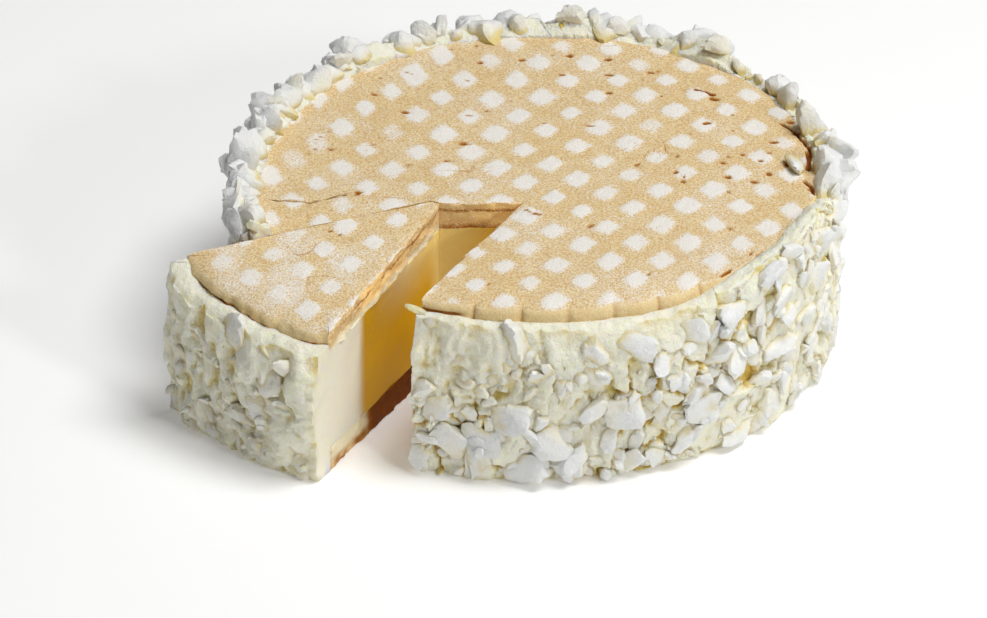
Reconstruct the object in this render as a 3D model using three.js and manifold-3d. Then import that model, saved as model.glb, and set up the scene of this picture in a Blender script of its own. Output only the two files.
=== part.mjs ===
// Round meringue cake with one slice half drawn out, in millimetres, +Z up.
//
// Two nut-meringue biscuits, a thick base and a thick lid, hold a deep layer of cream between them.
// The same cream coats the side, and broken dry meringue is pressed all over that coat and piled on
// its rim. A knife has cut a wedge out of the cake: the slice stands beside the notch, its left face
// still touching the cake, and a splinter of the lid has broken off along that cut.
//
// The origin is on the cake's axis at its underside. +X is to the right of the side that the notch
// opens to, and +Y points to the back. Angles run from +X towards +Y.
import * as THREE from 'three';
import { mergeVertices } from 'three/addons/utils/BufferGeometryUtils.js';
import Module from 'manifold-3d';

const wasm = await Module();
wasm.setup();

// ---- driving dimensions ----
const CAKE_HEIGHT = 73.6; // underside to the top of the lid
const LID_THICKNESS = 11.5;
const BASE_THICKNESS = 12;
const LID_RADIUS = 107.5;
const BASE_RADIUS = 105.5;
const COAT_RADIUS = 114; // cream coat, without the meringue pressed into it
const FIT_GAP = 0.3; // between pieces that touch
const LID_SHOULDER = 4; // how far the lid's upper edge rounds over
const BULGE = 12; // the cake is pushed out of round beside the notch
const BULGE_ANGLE = 212;
const BULGE_WIDTH = 32;
const SIDE_WAVE = 1.1; // uneven hand-spread coat
const NOTCH_TIP = [-9, -29];
const NOTCH_BEND = [-39.6, -30.3]; // where the left cut meets the slice's point
const NOTCH_RIGHT_ANGLE = 242; // direction of the right cut from the tip
const SLICE_TIP = [-40, -27.5];
const SLICE_LEFT_ANGLE = 199.3;
const SLICE_RIGHT_ANGLE = 242.2;
const SLICE_CENTRE = [-54.5, -20.3]; // centre of the slice's curved outside
const SLICE_COAT_RADIUS = 100.5;
const SLICE_BORDER = 8.5; // cream outside the slice's biscuits
const DIP = 0.15; // the slice and the splinter sag towards the front, mm in each mm
const CRACK = [[-40, -27.2], [-48, -27], [-68.8, -23.8], [-78, -24], [-91, -29.2], [-103, -28], [-130, -26]];
const CRACK_WIDTH = 0.8;
const SCALLOP_STEP = 9.6; // degrees between the nicks in the lid's edge
const SCALLOP_START = -105;
const SCALLOP_COUNT = 9;
const NICK_SIZE = 2.2;
const RIM_LOW = 67.3; // the coat's rim where the lid's edge shows
const RIM_HIGH = 76.5; // the rim elsewhere
const SHARD_LENGTH = 15.5; // of a middling piece of broken meringue
const LOOSE_PLACE = [96, 1]; // the shard that has fallen on the lid
const LOOSE_SIZE = [13, 7.5, 6];
const LOOSE_TURN = 115;
const LOOSE_SEED = 903;
const REACH = 260; // longer than the cake, for cutting shapes

const RAD = Math.PI / 180;
const LID_UNDERSIDE = CAKE_HEIGHT - LID_THICKNESS;

// ---- small mathematics ----
// A fixed random number from 0 to 1 for each pair of whole numbers, so every build is the same.
function chance(i, k) {
  const value = Math.sin(i * 127.1 + k * 311.7 + 3.3) * 43758.5453;
  return value - Math.floor(value);
}

function between(low, high, t) {
  return low + (high - low) * t;
}

function smooth(low, high, x) {
  const t = Math.min(Math.max((x - low) / (high - low), 0), 1);
  return t * t * (3 - 2 * t);
}

function turned(angle) {
  return ((angle % 360) + 360) % 360;
}

function onRay(start, angle, distance) {
  return [start[0] + distance * Math.cos(angle * RAD), start[1] + distance * Math.sin(angle * RAD)];
}

// ---- solids ----
function solid(geometry) {
  const bare = geometry.clone();
  bare.deleteAttribute('normal');
  bare.deleteAttribute('uv');
  const merged = mergeVertices(bare, 1e-4);
  const triangles = [];
  for (let k = 0; k < merged.index.count; k += 3) {
    const [a, b, c] = [0, 1, 2].map((n) => merged.index.getX(k + n));
    if (a !== b && b !== c && c !== a) {
      triangles.push(a, b, c);
    }
  }
  const mesh = new wasm.Mesh({
    numProp: 3,
    vertProperties: Float32Array.from(merged.attributes.position.array),
    triVerts: Uint32Array.from(triangles),
  });
  return new wasm.Manifold(mesh);
}

// A turned shape: shape(row, angle) gives the radius and height of each row of its profile, whose
// first and last rows lie on the axis.
function turnedShape(rows, segments, centre, shape) {
  const profile = Array.from({ length: rows }, (_, row) => {
    return new THREE.Vector2(row === 0 || row === rows - 1 ? 0 : 1, row);
  });
  const geometry = new THREE.LatheGeometry(profile, segments);
  const position = geometry.attributes.position;
  for (let k = 0; k < position.count; k += 1) {
    const row = k % rows;
    const angle = (360 / segments) * (Math.floor(k / rows) % segments);
    const { r, z } = shape(row, angle);
    const [x, y] = onRay(centre, angle, row === 0 || row === rows - 1 ? 0 : r);
    position.setXYZ(k, x, y, z);
  }
  return solid(geometry);
}

function prism(outline, low, high) {
  const shape = new THREE.Shape(outline.map(([x, y]) => new THREE.Vector2(x, y)));
  const geometry = new THREE.ExtrudeGeometry(shape, { depth: high - low, bevelEnabled: false });
  return solid(geometry.translate(0, 0, low));
}

// The largest piece alone, which drops loose scraps and fills sealed hollows.
function mainBody(body) {
  return body.decompose().reduce((a, b) => (a.volume() > b.volume() ? a : b));
}

function geometryOf(body) {
  const mesh = body.getMesh();
  const geometry = new THREE.BufferGeometry();
  geometry.setAttribute('position', new THREE.BufferAttribute(new Float32Array(mesh.vertProperties), 3));
  geometry.setIndex(new THREE.BufferAttribute(new Uint32Array(mesh.triVerts), 1));
  return geometry;
}

// ---- the cake's outline ----
function bulge(angle) {
  const away = ((turned(angle - BULGE_ANGLE) + 180) % 360) - 180;
  return BULGE * Math.exp(-((away / BULGE_WIDTH) ** 2));
}

function wave(angle, height) {
  const a = angle * RAD;
  return SIDE_WAVE * (Math.sin(7 * a + 0.09 * height) + Math.sin(17 * a - 0.13 * height + 1.7)) / 2;
}

function rimHeight(angle) {
  const a = turned(angle + 180) - 180; // -180 to 180, the front at -90
  const front = smooth(-150, -125, a) * (1 - smooth(-66, -42, a));
  const lumps = 1.3 * Math.sin(9 * a * RAD) + 1.1 * Math.sin(14 * a * RAD + 1);
  return between(RIM_HIGH + lumps, RIM_LOW, front);
}

// ---- cutting shapes ----
const cutOffset = onRay([0, 0], SLICE_LEFT_ANGLE - 90, FIT_GAP);
const notchLeftStart = [SLICE_TIP[0] + cutOffset[0], SLICE_TIP[1] + cutOffset[1]];
const notchOutline = [
  NOTCH_TIP,
  NOTCH_BEND,
  [NOTCH_BEND[0], notchLeftStart[1]],
  notchLeftStart,
  onRay(notchLeftStart, SLICE_LEFT_ANGLE, REACH),
  [-REACH, -REACH],
  onRay(NOTCH_TIP, NOTCH_RIGHT_ANGLE, REACH),
].reverse();
const notch = prism(notchOutline, -REACH, REACH);
const sliceOutline = [
  SLICE_TIP,
  onRay(SLICE_TIP, SLICE_LEFT_ANGLE, REACH),
  [-REACH, -REACH],
  onRay(SLICE_TIP, SLICE_RIGHT_ANGLE, REACH),
];
const sliceSector = prism(sliceOutline, -REACH, REACH);
const tableSquare = [[-REACH, -REACH], [REACH, -REACH], [REACH, REACH], [-REACH, REACH]];
const aboveTable = prism(tableSquare, 0, REACH);

// A side that the crack leaves: everything on the front side of it, or, with a wider crack, the back.
function crackSide(offset, far) {
  const line = CRACK.map(([x, y]) => [x, y + offset]);
  const first = [REACH, CRACK[0][1] + offset];
  const last = [-REACH, CRACK.at(-1)[1] + offset];
  return prism([first, ...line, last, [-REACH, far], [REACH, far]], -REACH, REACH);
}

// ---- sagging ----
// Distance of a point from the slice's left cut, positive on the cake's side.
function besideCut(x, y) {
  const [nx, ny] = onRay([0, 0], SLICE_LEFT_ANGLE - 90, 1);
  return (x - SLICE_TIP[0]) * nx + (y - SLICE_TIP[1]) * ny + FIT_GAP;
}

// How much of the sag a point takes: all of it on the slice, and on the cake only left of the notch.
const wholeSag = () => 1;
const sagBesideNotch = (x, y) => smooth(0, 14, SLICE_TIP[0] - x) * smooth(-1, 1, besideCut(x, y));

// Heights are scaled by how far the top has sunk, so that layers stay together and the foot flat.
function sag(geometry, share) {
  const position = geometry.attributes.position;
  for (let k = 0; k < position.count; k += 1) {
    const [x, y] = [position.getX(k), position.getY(k)];
    const sunk = (DIP * Math.min(y - SLICE_TIP[1], 0)) / CAKE_HEIGHT;
    position.setZ(k, position.getZ(k) * (1 + share(x, y) * sunk));
  }
  return geometry;
}

// ---- the biscuits ----
function lidShape(centre, radiusAt, extra) {
  const rows = [
    [0, -extra],
    [0, -extra],
    [-0.4, 6],
    [-1.6, 9.6],
    [-LID_SHOULDER, LID_THICKNESS + extra],
    [0, LID_THICKNESS + extra],
  ];
  return turnedShape(rows.length, 72, centre, (row, angle) => ({
    r: radiusAt(angle) + extra + rows[row][0],
    z: LID_UNDERSIDE + rows[row][1],
  }));
}

function baseShape(centre, radiusAt, extra) {
  const heights = [-extra, -extra, BASE_THICKNESS + extra, BASE_THICKNESS + extra];
  return turnedShape(heights.length, 72, centre, (row, angle) => ({
    r: radiusAt(angle) + extra,
    z: heights[row],
  }));
}

// The upright nicks that divide the lid's baked edge into blocks.
function nicks() {
  return Array.from({ length: SCALLOP_COUNT }, (_, k) => {
    const angle = SCALLOP_START + k * SCALLOP_STEP;
    const [x, y] = onRay([0, 0], angle, LID_RADIUS + bulge(angle) + 0.4);
    const knife = new THREE.CylinderGeometry(NICK_SIZE, NICK_SIZE, REACH, 3).rotateX(Math.PI / 2);
    return solid(knife.rotateZ((angle - 90) * RAD + Math.PI).translate(x, y, 0));
  });
}

// ---- broken meringue ----
const LUMP = new THREE.IcosahedronGeometry(1, 0);
const BLOCK = new THREE.BoxGeometry(1.7, 1.7, 1.7);

// A dry shard: a lump or a broken block, each corner moved in or out, to length, width and depth.
function shard(seed, length, width, depth, form) {
  const plain = form.clone().deleteAttribute('normal').deleteAttribute('uv');
  const geometry = mergeVertices(plain);
  const position = geometry.attributes.position;
  const corner = new THREE.Vector3();
  for (let k = 0; k < position.count; k += 1) {
    const moved = [0, 1, 2].map((n) => between(0.68, 1.12, chance(seed, 3 * k + n + 10)));
    corner.fromBufferAttribute(position, k).multiply(new THREE.Vector3(...moved));
    position.setXYZ(k, corner.x, corner.y, corner.z);
  }
  return geometry.scale(length / 2, width / 2, depth / 2);
}

// Lays a shard with its flat side along the coat, turned in that plane and tipped out of it.
function onCoat(geometry, seed, centre, angle, radius, height, tip) {
  geometry.rotateZ(360 * RAD * chance(seed, 1));
  geometry.rotateX(tip * (2 * chance(seed, 2) - 1));
  geometry.rotateY(tip * (2 * chance(seed, 3) - 1));
  geometry.rotateY(Math.PI / 2);
  geometry.rotateZ(angle * RAD);
  const [x, y] = onRay(centre, angle, radius);
  return solid(geometry.translate(x, y, height));
}

// Shards in staggered rows round the coat, each moved about its place.
function wallShards(columns, rows, first, last, centre, wallAt, topAt) {
  return Array.from({ length: columns * rows }, (_, i) => {
    const row = Math.floor(i / columns);
    const across = (i % columns) + 0.25 + 0.5 * (row % 2) + 0.6 * (chance(i, 8) - 0.5);
    const angle = between(first, last, across / columns);
    const height = between(2, topAt(angle) - 2, (row + 0.5 + 0.6 * (chance(i, 9) - 0.5)) / rows);
    const size = between(0.72, 1.12, chance(i, 5));
    const width = between(8, 12.5, chance(i, 6)) * size;
    const depth = between(5, 7.5, chance(i, 7)) * size;
    const piece = shard(i, SHARD_LENGTH * size, width, depth, i % 3 === 0 ? LUMP : BLOCK);
    return onCoat(piece, i, centre, angle, wallAt(angle) + 0.8, height, 0.5);
  });
}

function rimShards(count, first, last) {
  return Array.from({ length: count }, (_, i) => {
    const seed = i + 500;
    const angle = between(first, last, (i + 0.7 * chance(seed, 8)) / count);
    const size = between(0.7, 1.1, chance(seed, 9));
    const radius = LID_RADIUS + bulge(angle) + between(3.5, 9.5, chance(seed, 4));
    const height = rimHeight(angle) + between(-2, 1, chance(seed, 5));
    const piece = shard(seed, SHARD_LENGTH * size, 11 * size, 7.5 * size, i % 2 === 0 ? LUMP : BLOCK);
    return onCoat(piece, seed, [0, 0], angle, radius, height, 1.2);
  });
}

// The one shard that has fallen on the lid lies flat on it.
function looseShard() {
  const piece = shard(LOOSE_SEED, LOOSE_SIZE[0], LOOSE_SIZE[1], LOOSE_SIZE[2], LUMP);
  piece.rotateZ(LOOSE_TURN * RAD);
  piece.computeBoundingBox();
  const rest = CAKE_HEIGHT + FIT_GAP - piece.boundingBox.min.z;
  return solid(piece.translate(LOOSE_PLACE[0], LOOSE_PLACE[1], rest));
}

// ---- the cream ----
// The coat from the table to its rim, filled to the middle; the biscuits are cut out of it.
function coatShape(segments, centre, wallAt, topAt, lidAt) {
  const side = [0, 0, 0.09, 0.25, 0.42, 0.6, 0.78, 0.92];
  const foot = [0, -1.6, 0.2, 0.6, 0.8, 0.7, 0.3, -0.6];
  const rows = side.length + 5;
  return turnedShape(rows, segments, centre, (row, angle) => {
    const top = topAt(angle);
    if (row < side.length) {
      const z = side[row] * top;
      return { r: wallAt(angle) + foot[row] + wave(angle, z) * (row > 1), z };
    }
    const floor = LID_UNDERSIDE + 1;
    const inner = lidAt(angle);
    const r = [wallAt(angle) - 3, inner + 3.5, inner - 2.5, inner - 3.5, 0][row - side.length];
    const z = [top - 1, top, Math.max(top - 2.5, floor), floor, floor][row - side.length];
    return { r, z };
  });
}

const cakeLid = (angle) => LID_RADIUS + bulge(angle);
const cakeBase = (angle) => BASE_RADIUS + bulge(angle);
const cakeCoat = (angle) => COAT_RADIUS + bulge(angle);
const sliceLid = (angle) => SLICE_COAT_RADIUS - SLICE_BORDER + 0.8 * Math.sin(11 * angle * RAD);
const sliceBase = () => SLICE_COAT_RADIUS - SLICE_BORDER - 1;
const sliceCoat = (angle) => SLICE_COAT_RADIUS + 1.5 * Math.sin(9 * angle * RAD + 0.6);
const sliceRim = (angle) => between(RIM_LOW, CAKE_HEIGHT - 1.5, 1 - smooth(205, 216, turned(angle)));

function cakeCream() {
  const centre = [0, 0];
  const coat = coatShape(72, centre, cakeCoat, rimHeight, cakeLid);
  const shards = [
    ...wallShards(31, 5, -118, 208, centre, cakeCoat, rimHeight),
    ...rimShards(38, -52, 205),
  ];
  const rough = wasm.Manifold.union([coat, ...shards]).intersect(aboveTable);
  const room = wasm.Manifold.union([
    lidShape(centre, cakeLid, FIT_GAP),
    baseShape(centre, cakeBase, FIT_GAP),
  ]);
  return mainBody(rough.subtract(room).subtract(notch));
}

function sliceCream() {
  const coat = coatShape(72, SLICE_CENTRE, sliceCoat, sliceRim, sliceLid);
  const shards = wallShards(8, 5, 198, 258, SLICE_CENTRE, sliceCoat, sliceRim);
  const rough = wasm.Manifold.union([coat, ...shards]).intersect(aboveTable);
  const room = wasm.Manifold.union([
    lidShape(SLICE_CENTRE, sliceLid, FIT_GAP),
    baseShape(SLICE_CENTRE, sliceBase, FIT_GAP),
  ]);
  return mainBody(rough.subtract(room).intersect(sliceSector));
}

// ---- the cake ----
const cutLid = lidShape([0, 0], cakeLid, 0).subtract(notch).subtract(wasm.Manifold.union(nicks()));
const besideSlice = [
  notchLeftStart,
  [SLICE_TIP[0], REACH],
  [-2 * REACH, REACH],
  onRay(notchLeftStart, SLICE_LEFT_ANGLE, REACH),
];
const leftOfSlice = prism(besideSlice, -REACH, REACH);
const frontOfCrack = crackSide(-CRACK_WIDTH / 2, -REACH);
const frontAndCrack = crackSide(CRACK_WIDTH / 2, -REACH);
const splinterRegion = frontOfCrack.intersect(leftOfSlice);
const splinterRoom = frontAndCrack.intersect(leftOfSlice);
const sliceFoot = baseShape(SLICE_CENTRE, sliceBase, 0);
const sliceTop = lidShape(SLICE_CENTRE, sliceLid, 0);

const TAN = 0xdcb684;
const DARK_TAN = 0xcda36c;
const IVORY = 0xf4f0d6;
const WHITE = 0xf2f1ec;
const pieces = [
  ['base_biscuit', baseShape([0, 0], cakeBase, 0).subtract(notch), sagBesideNotch, DARK_TAN, 0.9],
  ['cream', cakeCream(), sagBesideNotch, IVORY, 0.6],
  ['lid_biscuit', mainBody(cutLid.subtract(splinterRoom)), sagBesideNotch, TAN, 0.92],
  ['lid_splinter', mainBody(cutLid.intersect(splinterRegion)), sagBesideNotch, TAN, 0.92],
  ['loose_meringue', looseShard(), sagBesideNotch, WHITE, 0.8],
  ['slice_base_biscuit', sliceFoot.intersect(sliceSector), wholeSag, DARK_TAN, 0.9],
  ['slice_cream', sliceCream(), wholeSag, IVORY, 0.6],
  ['slice_lid_biscuit', sliceTop.intersect(sliceSector), wholeSag, TAN, 0.92],
];

const cake = new THREE.Group();
for (const [name, body, share, color, roughness] of pieces) {
  const material = new THREE.MeshStandardMaterial({ color, roughness, metalness: 0 });
  const mesh = new THREE.Mesh(sag(geometryOf(body), share), material);
  mesh.name = name;
  cake.add(mesh);
}

export default cake;
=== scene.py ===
import math
from types import SimpleNamespace

import bpy
import numpy as np
from mathutils import Matrix, Vector


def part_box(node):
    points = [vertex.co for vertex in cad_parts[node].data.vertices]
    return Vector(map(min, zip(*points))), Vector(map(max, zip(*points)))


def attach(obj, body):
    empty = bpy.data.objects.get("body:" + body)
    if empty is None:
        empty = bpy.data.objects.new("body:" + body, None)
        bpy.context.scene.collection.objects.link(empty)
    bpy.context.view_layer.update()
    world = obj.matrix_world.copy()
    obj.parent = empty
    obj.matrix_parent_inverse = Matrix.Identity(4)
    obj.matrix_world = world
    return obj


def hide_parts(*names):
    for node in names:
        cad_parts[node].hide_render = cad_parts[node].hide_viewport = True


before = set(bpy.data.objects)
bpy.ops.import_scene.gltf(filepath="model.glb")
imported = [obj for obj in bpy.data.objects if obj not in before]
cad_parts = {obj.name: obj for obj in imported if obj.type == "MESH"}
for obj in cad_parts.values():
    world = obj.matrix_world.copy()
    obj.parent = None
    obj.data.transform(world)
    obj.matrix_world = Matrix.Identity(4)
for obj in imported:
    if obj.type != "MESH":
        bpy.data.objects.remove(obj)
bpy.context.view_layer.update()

# Looks of a round meringue cake with one slice half drawn out. Two nut-meringue biscuits hold a deep
# layer of buttercream, the side is coated with the same cream, and broken dry meringue is pressed
# into that coat. Every surface is worked out here with numpy, in millimetres, on the solids' own
# sizes, and goes into its mesh in metres. Angles are in degrees, from +X towards +Y. Where a noise or
# a chance number has a seed, the seed is any whole number that gives a good draw.

# ---- sizes, in millimetres, as the solids have them ----
MM = 0.001
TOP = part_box("lid_biscuit")[1].z / MM
BASE_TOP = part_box("base_biscuit")[1].z / MM
LID_THICKNESS = 11.5
LID_UNDERSIDE = TOP - LID_THICKNESS
LID_RADIUS = 107.5
BASE_RADIUS = 105.5
COAT_RADIUS = 114
COAT_WIDTH = COAT_RADIUS - LID_RADIUS
BULGE, BULGE_ANGLE, BULGE_WIDTH = 12, 212, 32  # the cake is pushed out of round beside the notch
SIDE_WAVE = 1.1
RIM_LOW, RIM_HIGH = 67.3, 76.5
CAKE_CENTRE = np.array([0.0, 0.0])
CAKE_HUB = np.array([45.0, 35.0])  # a point that all of the cut cake's outline can be seen from
NOTCH_TIP = np.array([-9.0, -29.0])
NOTCH_BEND = np.array([-41.25, -30.45])
NOTCH_RIGHT_ANGLE = 242.0
SLICE_TIP = np.array([-40.0, -27.5])
SLICE_LEFT_ANGLE, SLICE_RIGHT_ANGLE = 199.3, 242.2
SLICE_CENTRE = np.array([-54.5, -20.3])
SLICE_HUB = np.array([-85.5, -66.7])
SLICE_COAT_RADIUS = 100.5
SLICE_BORDER = 8.5
SPLINTER_HUB = np.array([-95.0, -38.0])
DIP = 0.15  # the slice and the splinter sag towards the front, mm in each mm
CRACK = np.array(
    [[-40, -27.2], [-48, -27], [-68.8, -23.8], [-78, -24], [-91, -29.2], [-103, -28], [-130, -26]]
)
CRACK_WIDTH = 0.4
FIT_GAP = 0.3
SCALLOP_START, SCALLOP_STEP, SCALLOP_COUNT = -105, 9.6, 9
SHARD_LENGTH = 15.5
REACH = 260  # farther than across the whole cake


# ---- small mathematics, on whole arrays ----
def chance(i, k):
    """A fixed random number from 0 to 1 for each pair of whole numbers: the tail of a fast sine."""
    value = np.sin(i * 127.1 + k * 311.7 + 3.3) * 43758.5453
    return value - np.floor(value)


def between(low, high, t):
    """The number a share t of the way from low to high."""
    return low + (high - low) * t


def smooth(low, high, x):
    """An eased step: 0 up to low, 1 from high on, and 3tt - 2ttt at the share t between them."""
    t = np.clip((x - low) / (high - low), 0, 1)
    return t * t * (3 - 2 * t)


def unit(angle):
    """The direction of an angle in the plan, as x and y along a last axis."""
    a = np.radians(angle)
    return np.stack([np.cos(a), np.sin(a)], -1)


def heading(p):
    """The angle of a vector in the plan."""
    return np.degrees(np.arctan2(p[..., 1], p[..., 0]))


def half_turn(angle):
    """The same angle, from -180 to 180."""
    return (np.asarray(angle) + 180) % 360 - 180


def with_height(xy, z):
    """Points in space from points in the plan and their heights."""
    shape = np.broadcast_shapes(xy.shape[:-1], np.shape(z))
    return np.concatenate([np.broadcast_to(xy, (*shape, 2)), np.broadcast_to(z, shape)[..., None]], -1)


def spot(cell, seed):
    """A fixed random number for each cell of a cubic lattice."""
    value = np.sin(cell @ np.array([127.1, 311.7, 74.7]) + 53.3 * seed) * 43758.5453
    return value - np.floor(value)


def grain(p, size, seed):
    """A smooth random field from -1 to 1: a random value at each corner of a lattice of that size,
    eased from corner to corner."""
    q = p / size + 17.3 * seed
    cell = np.floor(q)
    ease = smooth(0, 1, q - cell)
    total = 0
    for corner in np.ndindex(2, 2, 2):
        weight = np.prod(np.where(corner, ease, 1 - ease), -1)
        total = total + weight * spot(cell + corner, seed)
    return 2 * total - 1


def rough(p, size, seed, octaves=3):
    """Grain of that size, with finer grain of half the size and half the height added in turn."""
    return sum(grain(p, size / 2**k, seed + k) / 2**k for k in range(octaves))


def cells(p, size, seed):
    """Points scattered one in each square of a lattice: how much farther than the nearest the next
    one is, in lattice sides, the offset from the nearest, and its square, which tells cells apart."""
    q = p / size + 9.1 * seed
    home = np.floor(q)
    nearest = np.full(q.shape[:-1], 9.0)
    following = nearest.copy()
    offset = np.zeros_like(q)
    owner = home.copy()
    for step in np.ndindex(*([3] * q.shape[-1])):
        cell = home + step - 1
        key = np.zeros((*q.shape[:-1], 3))
        key[..., : q.shape[-1]] = cell
        away = q - cell - np.stack([spot(key, seed + 0.37 * k) for k in range(q.shape[-1])], -1)
        gap = np.linalg.norm(away, axis=-1)
        following = np.minimum(following, np.maximum(nearest, gap))
        closer = (gap < nearest)[..., None]
        offset = np.where(closer, away, offset)
        owner = np.where(closer, cell, owner)
        nearest = np.minimum(nearest, gap)
    return following - nearest, offset, owner


# ---- the cake's outline ----
def bulge(angle):
    """How far the outline is pushed out: a bell of BULGE mm around its angle."""
    return BULGE * np.exp(-((half_turn(angle - BULGE_ANGLE) / BULGE_WIDTH) ** 2))


def wave(angle, height):
    """The wall's wave: the mean of a broad and a narrow ripple, both leaning with the height."""
    a = np.radians(angle)
    return SIDE_WAVE * (np.sin(7 * a + 0.09 * height) + np.sin(17 * a - 0.13 * height + 1.7)) / 2


def front_share(angle):
    """1 along the front, where the coat's rim is low and the lid's edge shows, and 0 elsewhere."""
    a = half_turn(angle)
    return smooth(-150, -125, a) * (1 - smooth(-66, -42, a))


def high_share(angle):
    """1 where the coat's rim is high, and 0 along the front."""
    return 1 - front_share(angle)


def torn_corner(angle):
    """1 at the front corner beside the notch, where the crust is torn and the cream stands higher."""
    a = half_turn(angle)
    return smooth(-124, -119, a) * (1 - smooth(-108, -105.5, a))


def rim_height(angle):
    """The rim's height: low in front, elsewhere high with two ripples as lumps."""
    a = np.radians(half_turn(angle))
    lumps = 1.3 * np.sin(9 * a) + 1.1 * np.sin(14 * a + 1)
    return between(RIM_HIGH + lumps, RIM_LOW, front_share(angle)) + 0.8 * torn_corner(angle)


def cake_lid(angle):
    return LID_RADIUS + bulge(angle)


def cake_base(angle):
    return BASE_RADIUS + bulge(angle)


def cake_coat(angle):
    return COAT_RADIUS + bulge(angle)


def slice_lid(angle):
    """The slice's lid: inside the coat's border, with a ripple and a crumbly wander."""
    around = with_height(60 * unit(angle), 0)
    ripple = 0.6 * np.sin(11 * np.radians(angle))
    wander = grain(around, 7, 91) + 0.6 * grain(around, 2.5, 92)
    return SLICE_COAT_RADIUS - SLICE_BORDER + ripple + 1.9 * wander


def slice_base(angle):
    return SLICE_COAT_RADIUS - SLICE_BORDER - 1 + 0 * np.asarray(angle)


def slice_coat(angle):
    return SLICE_COAT_RADIUS + 1.5 * np.sin(9 * np.radians(angle) + 0.6)


def slice_rim(angle):
    """The rim of the slice's coat: at the lid's top on its left, and low from there on."""
    return between(RIM_LOW, TOP - 1.5, 1 - smooth(205, 216, np.asarray(angle) % 360))


def always_low(angle):
    return 0 * np.asarray(angle, float)


def always_front(angle):
    return 1 + 0 * np.asarray(angle, float)


def meeting(start, angle, radius_at, centre):
    """Where a line from start leaves the round outline: the first of many steps that is outside."""
    path = start + np.linspace(0, REACH, 26001)[:, None] * unit(angle)
    outside = np.linalg.norm(path - centre, axis=1) > radius_at(heading(path - centre))
    return path[np.argmax(outside)]


CUT_START = SLICE_TIP + FIT_GAP * unit(SLICE_LEFT_ANGLE - 90)


def cake_corners(radius_at):
    """The notch, from its left end on the outline to its right end."""
    left = meeting(CUT_START, SLICE_LEFT_ANGLE, radius_at, CAKE_CENTRE)
    right = meeting(NOTCH_TIP, NOTCH_RIGHT_ANGLE, radius_at, CAKE_CENTRE)
    return [left, CUT_START, NOTCH_BEND, NOTCH_TIP, right]


def slice_corners(radius_at):
    """The slice's two cuts, from its right end on the outline over its tip to its left end."""
    left = meeting(SLICE_TIP, SLICE_LEFT_ANGLE, radius_at, SLICE_CENTRE)
    right = meeting(SLICE_TIP, SLICE_RIGHT_ANGLE, radius_at, SLICE_CENTRE)
    return [right, SLICE_TIP, left]


# ---- sagging ----
def beside_cut(xy):
    """Distance from the slice's left cut, positive on the cake's side."""
    return (xy - SLICE_TIP) @ unit(SLICE_LEFT_ANGLE - 90) + FIT_GAP


def whole_sag(xy):
    return np.ones(xy.shape[:-1])


def sag_beside_notch(xy):
    return smooth(0, 14, SLICE_TIP[0] - xy[..., 0]) * smooth(-1, 1, beside_cut(xy))


def sagged(p, share):
    """Heights scaled by how far the top has sunk there, so that layers stay together."""
    sunk = DIP * np.minimum(p[..., 1] - SLICE_TIP[1], 0) / TOP
    moved = p.copy()
    moved[..., 2] *= 1 + share(p[..., :2]) * sunk
    return moved


# The cut cake and the slice: what all their pieces are shaped on. The seed is the coat's.
CAKE = SimpleNamespace(
    centre=CAKE_CENTRE, hub=CAKE_HUB, corners=cake_corners, wall=cake_coat, lid=cake_lid, base=cake_base,
    rim=rim_height, high=high_share, sag=sag_beside_notch, seed=5,
)
SLICE = SimpleNamespace(
    centre=SLICE_CENTRE, hub=SLICE_HUB, corners=slice_corners, wall=slice_coat, lid=slice_lid,
    base=slice_base, rim=slice_rim, high=always_low, sag=whole_sag, seed=15,
)


# ---- meshes ----
def put_mesh(name, points, faces, material, fields, share, sharp=40):
    """One piece: points in millimetres, faces as arrays of rows of 3 or 4 point numbers, and fields
    as one number for each point. Edges bent by more than that many degrees are sharp."""
    mesh = bpy.data.meshes.new(name)
    points = sagged(points, share) * MM
    mesh.vertices.add(len(points))
    mesh.vertices.foreach_set("co", points.astype(np.float32).ravel())
    corners = np.concatenate([f.ravel() for f in faces])
    totals = np.concatenate([np.full(len(f), f.shape[1]) for f in faces])
    mesh.loops.add(len(corners))
    mesh.loops.foreach_set("vertex_index", corners.astype(np.int32))
    mesh.polygons.add(len(totals))
    starts = np.concatenate([[0], np.cumsum(totals)[:-1]])
    mesh.polygons.foreach_set("loop_start", starts.astype(np.int32))
    mesh.polygons.foreach_set("loop_total", totals.astype(np.int32))
    mesh.update(calc_edges=True)
    mesh.polygons.foreach_set("use_smooth", np.ones(len(totals), bool))
    mesh.set_sharp_from_angle(angle=math.radians(sharp))
    for field, values in fields.items():
        attribute = mesh.attributes.new(field, "FLOAT", "POINT")
        attribute.data.foreach_set("value", np.asarray(values, np.float32).ravel())
    mesh.materials.append(material)
    piece = bpy.data.objects.new(name, mesh)
    bpy.context.scene.collection.objects.link(piece)
    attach(piece, "root")
    return piece


def shell_faces(rows, columns):
    """Faces of a closed shell: point 0 is its low pole, then rows of points that close in a ring,
    then its high pole."""
    here = 1 + np.arange(rows * columns).reshape(rows, columns)
    beside = np.roll(here, -1, 1)
    quads = np.stack([here[:-1], beside[:-1], beside[1:], here[1:]], -1).reshape(-1, 4)
    low = np.stack([np.zeros(columns, int), beside[0], here[0]], -1)
    high = np.stack([here[-1], beside[-1], np.full(columns, rows * columns + 1)], -1)
    return quads, low, high


def shell_piece(name, grid, low_pole, high_pole, material, fields, share):
    """A closed piece from rows and columns of points, and its fields on the same grid."""
    points = np.concatenate([[low_pole], grid.reshape(-1, 3), [high_pole]])
    values = {k: np.concatenate([[0], v.ravel(), [v[-1].mean()]]) for k, v in fields.items()}
    return put_mesh(name, points, shell_faces(*grid.shape[:2]), material, values, share)


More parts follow.
